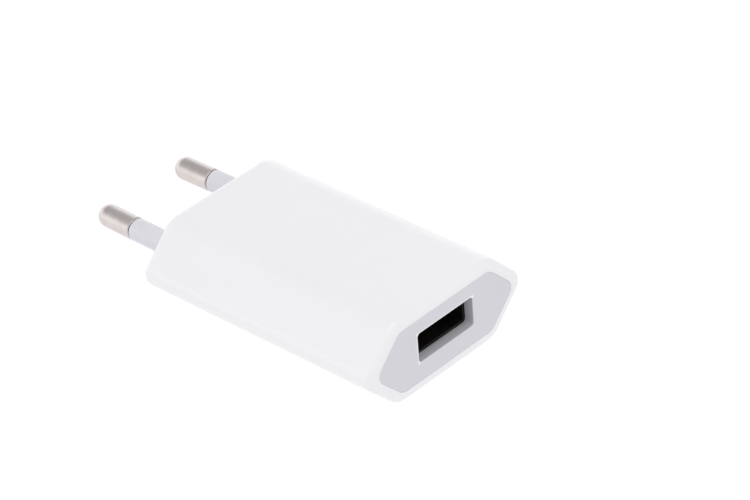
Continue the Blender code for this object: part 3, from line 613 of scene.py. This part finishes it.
BLUE_EPOXY = make_plastic(
    "blue_epoxy", (0.02, 0.10, 0.36), (0.035, 0.15, 0.46), 0.30, grain=0.5, depth=0.02
)
RESISTOR = make_resistor_coat()
TIN = make_metal("tinned_copper", (0.55, 0.55, 0.54), (0.66, 0.66, 0.65), 0.34)
LAMINATE = make_board_laminate()
WIRE = make_metal("enamelled_wire", (0.45, 0.17, 0.08), (0.66, 0.30, 0.16), 0.30)
TAPE = make_plastic(
    "yellow_tape", (0.72, 0.47, 0.05), (0.83, 0.58, 0.09), 0.34, grain=0.6, depth=0.01
)
PAPER = make_floor_look()

CAD_LOOKS = {
    "white_housing": WHITE,
    "grey_white_cap": CAP_WHITE,
    "pin_insulation": INSULATION,
    "nickel_plate": NICKEL,
    "receptacle_steel": SHADE_DARKENED_STEEL,
    "gold_plate": GOLD,
    "black_plastic": BLACK,
    "bracket_plastic": BRACKET,
    "board_laminate": LAMINATE,
    "insulating_film": FILM,
    "capacitor_can": CAN_SLEEVE,
    "polymer_can": CAN_ALUMINIUM,
    "rubber_seal": RUBBER,
    "ferrite": FERRITE,
    "copper_wire": WIRE,
    "yellow_tape": TAPE,
    "blue_epoxy": BLUE_EPOXY,
    "resistor_coat": RESISTOR,
}


def dress_cad_nodes():
    """Every CAD node gets its slot's procedural material, and smooth shading."""
    for subpart in frame["record"]["subparts"]:
        node = frame["nodes"][subpart["node"]]
        node.data.materials.clear()
        node.data.materials.append(CAD_LOOKS[subpart["material_slot"]])
        node.data.shade_smooth()
        node.data.set_sharp_from_angle(angle=math.radians(SHARP_ANGLE))


# ---------------------------------------------------------------- housing
def rim_profile():
    """Insets and depths of the front rim: a slope from the plate, then a round shoulder."""
    slope = math.radians(RIM_SLOPE)
    start = Vector((WALL, 0.0))
    end = Vector((0.0, RIM_DEPTH))
    handles = [
        start,
        start + Vector((-math.cos(slope), math.sin(slope))) * RIM_RUN,
        end - Vector((0.0, RIM_SHOULDER)),
        end,
    ]
    steps = 16
    points = []
    for step in range(steps + 1):
        t = step / steps
        weights = ((1 - t) ** 3, 3 * t * (1 - t) ** 2, 3 * t**2 * (1 - t), t**3)
        points.append(sum((w * p for w, p in zip(weights, handles)), Vector((0.0, 0.0))))
    return points


def shell_ring(inset):
    """The outline between the outside and the cavity, whose corners differ."""
    share = min(max(inset / WALL, 0.0), 1.0)
    outer = (RIDGE_RADIUS, EDGE_RADIUS)
    radii = [a + (b - a) * share for a, b in zip(outer, INSIDE_RADII)]
    return hexagon(inset, radii)


def make_housing():
    """The hexagonal shell, one closed wall: outside, front rim, cavity and plug face."""
    rings = []
    for inset, depth in quarter(REAR_ROUND, 10):
        rings.append(at_y(hexagon(inset), HOUSING_HIGH.y - depth))
    for inset, depth in reversed(rim_profile()):
        rings.append(at_y(shell_ring(inset), FRONT_Y + depth))
    cavity = hexagon(WALL, INSIDE_RADII)
    edge = 0.02 * MM
    rings += [at_y(cavity, FRONT_Y + edge), at_y(cavity, -WALL)]
    shell = bmesh.new()
    loft(shell, rings)
    holes = bmesh.new()
    hole_radius = PIN_RADIUS + PIN_CLEARANCE
    along_y = Matrix.Rotation(math.pi / 2, 4, "X")
    for side in (-1, 1):
        bmesh.ops.create_cone(
            holes,
            cap_ends=True,
            segments=ROUND_STEPS,
            radius1=hole_radius,
            radius2=hole_radius,
            depth=4 * WALL,
            matrix=Matrix.Translation((side * PIN_X, -WALL / 2, 0)) @ along_y,
        )
    sharp = 25
    housing = finished(
        "housing_shell", shell, WHITE, "housing_sleeve", slot="white_housing", sharp=sharp
    )
    carve(housing, ("DIFFERENCE", holes), sharp=sharp)


def make_port_plate():
    """The end cap: a flat plate, a rounded edge round its port, and a skirt into the shell."""
    seam = 0.015 * MM
    edge = 0.02 * MM
    rounding = 0.12 * MM
    flat = 0.06 * MM  # a level border round the port, which keeps the plate's shading flat
    skirt_wall = 0.8 * MM

    def outline(clearance):
        return hexagon(WALL + clearance, INSIDE_RADII)

    plate = bmesh.new()
    outer = [
        at_y(outline(seam + edge), FRONT_Y + PLATE_SINK),
        at_y(outline(seam), FRONT_Y + PLATE_SINK + edge),
        at_y(outline(seam), CAP_HIGH.y),
        at_y(outline(seam + skirt_wall), CAP_HIGH.y),
        at_y(outline(seam + skirt_wall), PLATE_BACK),
    ]
    outer_rings = loft(plate, outer, closed=False)

    def opening(grow):
        width, height = PORT_WIDTH + 2 * grow, PORT_HEIGHT + 2 * grow
        return rectangle(width, height, PORT_CORNER + grow, OPENING_Z)

    inner = []
    for inset, depth in [(rounding + flat, 0.0), *quarter(rounding, 4)]:
        inner.append(at_y(opening(inset), FRONT_Y + PLATE_SINK + depth))
    inner.append(at_y(opening(0.0), PLATE_BACK))
    inner_rings = loft(plate, inner, closed=False)
    for end in (0, -1):
        borders = set(outer_rings[end]), set(inner_rings[end])
        edges = [
            edge
            for edge in plate.edges
            if len(edge.link_faces) == 1 and any(set(edge.verts) <= ring for ring in borders)
        ]
        bmesh.ops.triangle_fill(plate, edges=edges, use_beauty=True)
    finished("port_plate", plate, CAP_WHITE, "end_cap", slot="grey_white_cap", sharp=40)


def make_pins():
    """Each pin is a turned core with a domed tip, and a sleeve over its root half."""
    core = 1.45 * MM
    flange = 2.8 * MM
    flange_high = -WALL - 0.2 * MM
    flange_low = flange_high - 1.2 * MM
    tail = 1.2 * MM
    tail_end = -7.4 * MM
    chamfer = 0.12 * MM
    shoulder = SLEEVE_LENGTH + 0.2 * MM
    dome_steps = 16
    centre = PIN_LENGTH - PIN_RADIUS
    dome = []
    for step in range(dome_steps + 1):
        angle = math.pi / 2 * (1 - step / dome_steps)
        dome.append((PIN_RADIUS * math.cos(angle), centre + PIN_RADIUS * math.sin(angle)))
    dome[0] = (0.0, PIN_LENGTH)
    metal = dome + [
        (PIN_RADIUS, shoulder + chamfer),
        (PIN_RADIUS - chamfer, shoulder),
        (core, shoulder),
        (core, flange_high),
        (flange - chamfer, flange_high),
        (flange, flange_high - chamfer),
        (flange, flange_low + chamfer),
        (flange - chamfer, flange_low),
        (tail, flange_low),
        (tail, tail_end + chamfer),
        (tail - chamfer, tail_end),
        (0.0, tail_end),
    ]
    bore = core + 0.05 * MM
    outside = PIN_RADIUS - 0.04 * MM
    lip = 0.10 * MM
    low = flange_high + 0.1 * MM
    sleeve = [
        (bore, SLEEVE_LENGTH),
        (outside - lip, SLEEVE_LENGTH),
        (outside - 0.3 * lip, SLEEVE_LENGTH - 0.3 * lip),
        (outside, SLEEVE_LENGTH - lip),
        (outside, low),
        (bore, low),
        (bore, SLEEVE_LENGTH),
    ]
    for side, word in ((-1, "left"), (1, "right")):
        lean = Matrix.Rotation(side * PIN_LEAN, 4, "Z")
        place = Matrix.Translation((side * PIN_X, 0, 0)) @ lean
        body = word + "_pin"
        finished(
            "pin_" + word,
            turned(metal, place),
            NICKEL,
            "plug_pin_" + word,
            slot="nickel_plate",
            body=body,
        )
        finished(
            "insulation_" + word,
            turned(sleeve, place),
            INSULATION,
            "pin_sleeve_" + word,
            slot="pin_insulation",
            body=body,
        )


# ---------------------------------------------------------------- USB-A receptacle
SHELL_LOW, SHELL_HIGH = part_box("usb_shell")
INSULATOR_LOW, INSULATOR_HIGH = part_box("usb_insulator")
SHELL_SHEET = 0.3 * MM
SHELL_INSIDE = (12.5 * MM, 5.12 * MM)
SPRING_X = 3.2 * MM
SPRING_WIDTH = 2.0 * MM
SPRING_ROOT_Y = SHELL_LOW.y + 2.4 * MM
SPRING_LENGTH = 5.9 * MM
CONTACT_X = (-3.5 * MM, -1.0 * MM, 1.0 * MM, 3.5 * MM)


def make_receptacle_shell():
    """The folded steel shell: lips at its mouth, four spring windows, a notch and four legs."""
    width, height = SHELL_INSIDE
    lip = 0.1 * MM

    def ring(grow, radius, y):
        return at_y(rectangle(width + 2 * grow, height + 2 * grow, radius, PORT_Z, 6), y)

    shell_data = bmesh.new()
    front, rear = SHELL_LOW.y, SHELL_HIGH.y
    rings = [
        ring(SHELL_SHEET, 0.6 * MM, rear),
        ring(SHELL_SHEET, 0.6 * MM, front + lip),
        ring(SHELL_SHEET - 0.3 * lip, 0.57 * MM, front + 0.3 * lip),
        ring(SHELL_SHEET - lip, 0.5 * MM, front),
        ring(lip, 0.4 * MM, front),
        ring(0.3 * lip, 0.33 * MM, front + 0.3 * lip),
        ring(0.0, 0.3 * MM, front + lip),
        ring(0.0, 0.3 * MM, rear),
    ]
    loft(shell_data, rings, loop=True)
    shell = finished(
        "usb_receptacle_shell", shell_data, SHADE_DARKENED_STEEL, "usb_shell", slot="receptacle_steel"
    )
    windows = bmesh.new()
    clearance = 0.2 * MM
    through = 0.5 * MM
    middle = SPRING_ROOT_Y + SPRING_LENGTH / 2
    half_width = SPRING_WIDTH / 2
    near_x, far_x = SPRING_X - half_width - clearance, SPRING_X + half_width + clearance
    reach = SPRING_LENGTH / 2 + clearance
    for side in (-1, 1):
        for level in (-1, 1):
            z = PORT_Z + level * (height + SHELL_SHEET) / 2
            low_x, high_x = sorted((side * near_x, side * far_x))
            block(
                windows,
                (low_x, middle - reach, z - through),
                (high_x, middle + reach, z + through),
            )
    notch_half = 4.8 * MM  # the notch below, through which the contacts come down
    notch_depth = 1.9 * MM
    beyond = 1.0 * MM
    low_side = PORT_Z - 1.0 * MM
    block(
        windows,
        (-notch_half, rear - notch_depth, PORT_Z - height),
        (notch_half, rear + beyond, low_side),
    )
    leg_x, leg_y = 0.15 * MM, 0.7 * MM
    legs = bmesh.new()
    for side in (-1, 1):
        x = side * (width / 2 + 0.2 * MM)
        for y in (front + 3.6 * MM, front + 10.4 * MM):
            block(legs, (x - leg_x, y - leg_y, SHELL_LOW.z), (x + leg_x, y + leg_y, low_side))
    carve(shell, ("DIFFERENCE", windows), ("UNION", legs))
    # Faces outside the shell's sheet get bright tinned metal; the inner faces keep the dark
    # steel as painted shade inside the port.
    out_x, out_z = width / 2 + 0.6 * SHELL_SHEET, height / 2 + 0.6 * SHELL_SHEET
    tin_faces(shell, lambda at: abs(at.x) > out_x or abs(at.z - PORT_Z) > out_z)


def make_springs():
    """Four bowed leaves that grip a plug."""
    for level, height in ((1, "top"), (-1, "bottom")):
        root_z = PORT_Z + level * (SHELL_INSIDE[1] + SHELL_SHEET) / 2
        shape = [(0.0, 0.0), (1.6, 0.08), (3.2, 0.30), (4.4, 0.44), (4.9, 0.45)]
        shape += [(5.4, 0.36), (5.9, 0.15)]
        path = smooth_path(
            [(SPRING_ROOT_Y + y * MM, root_z - level * bow * MM) for y, bow in shape]
        )
        for side, word in ((-1, "left"), (1, "right")):
            finished(
                "spring_leaf_%s_%s" % (height, word),
                strip(path, SPRING_WIDTH, 0.25 * MM, side * SPRING_X),
                SHADE_DARKENED_STEEL,
                "shell_spring_%s_%s" % (height, word),
                slot="receptacle_steel",
                body="spring_%s_%s" % (height, word),
            )


def make_insulator():
    """The black moulding: a rear block and a tongue with four grooves for the contacts."""
    tongue_low = PORT_Z + 0.05 * MM
    tongue_high = PORT_Z + 1.89 * MM
    tongue_front = SHELL_LOW.y + 2.5 * MM
    block_front = SHELL_HIGH.y - 3.2 * MM
    tongue_half = 5.55 * MM
    drop_y = SHELL_HIGH.y - 1.2 * MM
    body = bmesh.new()
    block(body, (INSULATOR_LOW.x, block_front, INSULATOR_LOW.z), INSULATOR_HIGH, 0.15 * MM)
    tongue = bmesh.new()
    block(
        tongue,
        (-tongue_half, tongue_front, tongue_low),
        (tongue_half, block_front + 1.0 * MM, tongue_high),
        0.22 * MM,
    )
    grooves = bmesh.new()
    half = 0.7 * MM
    below = 1.0 * MM
    rear = drop_y + 0.3 * MM
    for x in CONTACT_X:
        block(
            grooves,
            (x - half, tongue_front + 0.6 * MM, tongue_low - below),
            (x + half, rear, tongue_low + 1.1 * MM),
        )
        block(
            grooves,
            (x - half, drop_y - 0.9 * MM, INSULATOR_LOW.z - below),
            (x + half, rear, tongue_low + 0.9 * MM),
        )
    insulator = finished(
        "tongue_moulding", body, BLACK, "usb_insulator", slot="black_plastic"
    )
    carve(insulator, ("UNION", tongue), ("DIFFERENCE", grooves))


def make_contacts():
    """Four gold contacts, bowed down under the tongue, with tips turned up into the grooves."""
    shape = [(0.0, 0.0), (-2.0, -0.33), (-4.2, -0.75), (-5.6, -1.02), (-6.2, -1.06)]
    shape += [(-6.7, -0.88), (-7.1, -0.45)]
    root_z = PORT_Z + 0.6 * MM
    root_y = SHELL_HIGH.y - 3.4 * MM
    path = smooth_path([(root_y + y * MM, root_z + z * MM) for y, z in shape])
    for number, x in enumerate(CONTACT_X, 1):
        finished(
            "contact_%d_leaf" % number,
            strip(path, 1.0 * MM, 0.2 * MM, x),
            GOLD,
            "usb_contact_beam_%d" % number,
            slot="gold_plate",
            body="contact_%d" % number,
        )


# ---------------------------------------------------------------- components inside
def softened(node, name, bevel, look, material_slot, tinned=None):
    """A CAD node's shape with its edges rounded, and with bare metal where tinned says so."""
    made = bmesh.new()
    made.from_mesh(frame["nodes"][node].data)
    bmesh.ops.remove_doubles(made, verts=made.verts, dist=COARSE_WELD)
    bmesh.ops.dissolve_limit(
        made, angle_limit=math.radians(1.0), verts=made.verts, edges=made.edges
    )
    least = math.radians(40)
    sharp = [e for e in made.edges if e.is_manifold and e.calc_face_angle() > least]
    bmesh.ops.bevel(
        made,
        geom=sharp,
        offset=bevel,
        segments=2,
        profile=0.5,
        affect="EDGES",
        clamp_overlap=True,
    )
    piece = finished(name, made, look, node, slot=material_slot)
    if tinned:
        tin_faces(piece, tinned)


def tin_faces(piece, tinned):
    """Bare metal on the faces whose middle passes tinned."""
    piece.data.materials.append(TIN)
    for face in piece.data.polygons:
        if tinned(face.center):
            face.material_index = 1


def make_boards_and_packages():
    """The board, the bar behind the pins, the film tray, the ferrite and the packages."""
    near = 0.02 * MM  # a face this close to a limit counts as plastic
    lead_reach = 0.8 * MM  # bare leads stand out this far at each side of a flat package
    foot_height = 0.35 * MM
    for node, name, width, look, material_slot in (
        ("circuit_board", "board_laminate", 0.06, LAMINATE, "board_laminate"),
        ("pin_carrier", "carrier_bar", 0.2, BRACKET, "bracket_plastic"),
        ("insulating_tray", "film_tray", 0.06, FILM, "insulating_film"),
        ("core_half_front", "ferrite_front", 0.15, FERRITE, "ferrite"),
        ("core_half_rear", "ferrite_rear", 0.15, FERRITE, "ferrite"),
    ):
        softened(node, name, width * MM, look, material_slot)
    rail_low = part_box("circuit_board")[1].z + 0.2 * MM  # the bobbin's pins lie below this
    softened(
        "bobbin",
        "bobbin_moulding",
        0.08 * MM,
        BLACK,
        "black_plastic",
        tinned=lambda centre: centre.z < rail_low - near,
    )
    for node in (
        "bridge_rectifier",
        "primary_controller",
        "switching_transistor",
        "output_rectifier",
        "port_controller",
    ):
        low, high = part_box(node)
        softened(
            node,
            node + "_package",
            0.06 * MM,
            BLACK,
            "black_plastic",
            tinned=lambda centre, start=low.x + lead_reach, end=high.x - lead_reach: (
                not start - near < centre.x < end + near
            ),
        )
    feet_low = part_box("optocoupler")[0].z
    softened(
        "optocoupler",
        "optocoupler_package",
        0.08 * MM,
        BLACK,
        "black_plastic",
        tinned=lambda centre: centre.z < feet_low + foot_height,
    )


def make_cans():
    """Sleeved bulk capacitors with a scored vent, and bare polymer capacitors."""
    recess = 0.2 * MM
    seal_depth = 1.8 * MM
    for word in ("left", "right"):
        place, radius, length = lying("bulk_capacitor_" + word)
        seal_radius = radius - 0.55 * MM
        profile = [(0.0, length - recess), (radius - 0.95 * MM, length - recess)]
        profile += bent(radius - 0.75 * MM, length - recess, 0.2 * MM, 4)
        profile += bent(radius, length, 0.35 * MM, 6)
        profile += groove(radius, 1.9 * MM, 0.35 * MM, 0.45 * MM, 8)
        profile += bent(radius, 0.0, -0.2 * MM, 4)
        profile += [(seal_radius, 0.0), (seal_radius, seal_depth), (0.0, seal_depth)]
        can = finished(
            "electrolytic_" + word,
            turned(profile, place),
            CAN_SLEEVE,
            "bulk_capacitor_" + word,
            slot="capacitor_can",
        )
        vent = bmesh.new()
        outline = cross(0.65 * radius, 0.06 * MM)
        deep = 0.05 * MM
        loft(vent, [at_y(outline, length - recess + y) for y in (-deep, deep)])
        bmesh.ops.recalc_face_normals(vent, faces=vent.faces)
        bmesh.ops.transform(vent, matrix=place, verts=vent.verts)
        carve(can, ("DIFFERENCE", vent))
        place, radius, length = lying("output_capacitor_" + word)
        profile = [(0.0, length)]
        profile += bent(radius, length, 0.25 * MM, 6)
        profile += groove(radius, 1.1 * MM, 0.25 * MM, 0.4 * MM, 8)
        profile += bent(radius, 0.0, -0.2 * MM, 4)
        profile += [(radius - 0.5 * MM, 0.0), (radius - 0.5 * MM, 0.3 * MM), (0.0, 0.3 * MM)]
        finished(
            "polymer_can_" + word,
            turned(profile, place),
            CAN_ALUMINIUM,
            "output_capacitor_" + word,
            slot="polymer_can",
        )


def make_passives():
    """The fusible resistor, the drum choke with its coil, and the disc capacitor."""
    place, radius, length = lying("fusible_resistor")
    waist = radius - 0.2 * MM
    cap = 0.9 * MM
    profile = [(0.0, length)]
    profile += bent(radius - 0.05 * MM, length, 0.35 * MM, 6)
    steps = 12
    for step in range(steps + 1):
        share = step / steps
        swell = math.cos(math.tau * share) ** 2 if abs(share - 0.5) > 0.25 else 0.0
        y = length - cap - share * (length - 2 * cap)
        profile.append((waist + (radius - waist) * swell, y))
    profile += bent(radius - 0.05 * MM, 0.0, -0.35 * MM, 6)
    profile.append((0.0, 0.0))
    finished(
        "resistor_body",
        turned(profile, place),
        RESISTOR,
        "fusible_resistor",
        slot="resistor_coat",
    )
    place, radius, length = lying("choke_core")
    neck, end, bend = 0.7 * MM, 0.8 * MM, 0.12 * MM
    profile = [(0.0, length)]
    profile += bent(radius, length, bend, 3)
    profile += bent(radius, length - end, -bend, 3)
    profile += [(neck, length - end), (neck, end)]
    profile += bent(radius, end, bend, 3)
    profile += bent(radius, 0.0, -bend, 3)
    profile.append((0.0, 0.0))
    finished("choke_drum", turned(profile, place), FERRITE, "choke_core", slot="ferrite")
    place, radius, length = lying("choke_winding")
    bore = neck + 0.1 * MM
    profile = [(bore, length), *turns(radius, length, 20), (bore, 0.0), (bore, length)]
    finished("choke_coil", turned(profile, place), WIRE, "choke_winding", slot="copper_wire")
    low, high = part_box("y_capacitor")
    radius, half = (high.z - low.z) / 2, (high.x - low.x) / 2
    profile = [(0.0, half)]
    steps = 16
    fullness = 0.55
    for step in range(1, steps):
        angle = math.pi * step / steps
        profile.append((radius * math.sin(angle) ** fullness, half * math.cos(angle)))
    profile.append((0.0, -half))
    place = Matrix.Translation((low + high) / 2) @ Matrix.Rotation(-math.pi / 2, 4, "Z")
    finished(
        "disc_capacitor", turned(profile, place), BLUE_EPOXY, "y_capacitor", slot="blue_epoxy"
    )


def make_windings():
    """The transformer's two windings: rounded tubes whose outside shows the turns or tape."""
    wall = 0.4 * MM
    deepest = 0.12 * MM
    for node, name, corner, count, look, material_slot in (
        ("primary_winding", "primary_turns", 0.4 * MM, 14, WIRE, "copper_wire"),
        ("secondary_winding", "secondary_wrap", 0.7 * MM, 4, TAPE, "yellow_tape"),
    ):
        low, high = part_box(node)
        width, height = high.x - low.x, high.z - low.z
        middle = (low.z + high.z) / 2
        length = high.y - low.y
        outside = []
        for bump, y in turns(0.0, length, count):
            grow = max(bump, -deepest)
            outline = rectangle(width + 2 * grow, height + 2 * grow, corner + grow, middle, 6)
            outside.append(at_y(outline, low.y + y))
        inner = rectangle(width - 2 * wall, height - 2 * wall, corner / 2, middle, 6)
        tube = bmesh.new()
        rings = [at_y(inner, high.y), *outside, at_y(inner, low.y)]
        loft(tube, rings, loop=True)
        finished(name, tube, look, node, slot=material_slot)


def make_pin_leaves():
    """The leaves that press up against the pins' tails: flat on the board, then bent up."""
    for side, word in ((-1, "left"), (1, "right")):
        node = "pin_contact_" + word
        low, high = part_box(node)
        sheet = 0.25 * MM
        top, foot = high.z - sheet / 2, low.z + sheet / 2
        path = smooth_path(
            [
                (high.y, top),
                (high.y - 0.9 * MM, top),
                (high.y - 1.2 * MM, top - 0.12 * MM),
                (high.y - 1.9 * MM, foot + 0.12 * MM),
                (high.y - 2.3 * MM, foot),
                (low.y, foot),
            ],
            4,
        )
        finished(
            "pin_leaf_" + word,
            strip(path, high.x - low.x, sheet, (low.x + high.x) / 2),
            GOLD,
            node,
            slot="gold_plate",
        )


# ---------------------------------------------------------------- stage
TENT_FRONT = 0.66  # radiance of the pale tent round the charger: in front of the port,
TENT_HORIZON = 1.3  # low behind the pins, which it shows in,
TENT_BACK = 0.45  # and high behind them


def make_stage():
    """A white floor that fades into a pale tent."""
    floor_data = bmesh.new()
    bmesh.ops.create_circle(
        floor_data,
        cap_ends=True,
        radius=3.0,
        segments=96,
        matrix=Matrix.Translation((0, 0, HOUSING_LOW.z)),
    )
    mesh = bpy.data.meshes.new("floor")
    floor_data.to_mesh(mesh)
    floor_data.free()
    floor = bpy.data.objects.new("floor", mesh)
    bpy.context.scene.collection.objects.link(floor)
    mesh.materials.append(PAPER)

    world = bpy.data.worlds.new("tent")
    bpy.context.scene.world = world
    world.use_nodes = True
    nodes, links = world.node_tree.nodes, world.node_tree.links
    apart = nodes.new("ShaderNodeSeparateXYZ")
    links.new(nodes.new("ShaderNodeTexCoord").outputs["Generated"], apart.inputs["Vector"])

    def eased(output, start, end, low, high):
        """A smooth step from low to high as output runs from start to end."""
        node = nodes.new("ShaderNodeMapRange")
        node.interpolation_type = "SMOOTHSTEP"
        ends = {"From Min": start, "From Max": end, "To Min": low, "To Max": high}
        for name, value in ends.items():
            node.inputs[name].default_value = value
        links.new(output, node.inputs["Value"])
        return node.outputs["Result"]

    level = nodes.new("ShaderNodeMix")
    links.new(eased(apart.outputs["Y"], 0.05, 0.5, 0.0, 1.0), level.inputs["Factor"])
    level.inputs["A"].default_value = TENT_FRONT
    links.new(eased(apart.outputs["Z"], 0.2, 0.75, TENT_HORIZON, TENT_BACK), level.inputs["B"])
    background = nodes["Background"]
    background.inputs["Color"].default_value = (0.985, 0.98, 1.0, 1.0)
    links.new(level.outputs["Result"], background.inputs["Strength"])


def make_softbox(name, direction, distance, size, radiance):
    """A rectangular area light of this radiance, which faces the middle of the housing."""
    target = Vector((0, FRONT_Y / 2, 0))
    place = target + Vector(direction).normalized() * distance
    light = bpy.data.lights.new(name, "AREA")
    light.shape = "RECTANGLE"
    light.size, light.size_y = size
    light.energy = radiance * math.pi * size[0] * size[1]
    lamp = bpy.data.objects.new(name, light)
    bpy.context.scene.collection.objects.link(lamp)
    lamp.location = place
    lamp.rotation_euler = (target - place).to_track_quat("-Z", "Y").to_euler()


def make_camera():
    """A long lens above the USB end's left corner, rolled a little."""
    azimuth, elevation, roll = (math.radians(angle) for angle in (-44.96, 34.07, -4.63))
    distance = 0.5836
    aim = Vector((8.7, -26.9, 1.4)) * MM
    back = Vector(
        (
            math.sin(azimuth) * math.cos(elevation),
            -math.cos(azimuth) * math.cos(elevation),
            math.sin(elevation),
        )
    )
    data = bpy.data.cameras.new("camera")
    data.lens = 172.3
    data.sensor_width = 36.0
    data.clip_start = 0.01
    data.clip_end = 20.0
    camera = bpy.data.objects.new("camera", data)
    bpy.context.scene.collection.objects.link(camera)
    camera.location = aim + back * distance
    turn = (-back).to_track_quat("-Z", "Y").to_matrix().to_4x4()
    camera.matrix_world = (
        Matrix.Translation(camera.location) @ turn @ Matrix.Rotation(roll, 4, "Z")
    )
    bpy.context.scene.camera = camera


dress_cad_nodes()
make_housing()
make_port_plate()
make_pins()
make_receptacle_shell()
make_springs()
make_insulator()
make_contacts()
make_boards_and_packages()
make_cans()
make_passives()
make_windings()
make_pin_leaves()
make_stage()
make_softbox(
    "overhead", direction=(-0.12, -0.25, 1.0), distance=1.0, size=(0.9, 0.9), radiance=1.6
)
make_camera()
bpy.context.scene.view_settings.view_transform = "Standard"
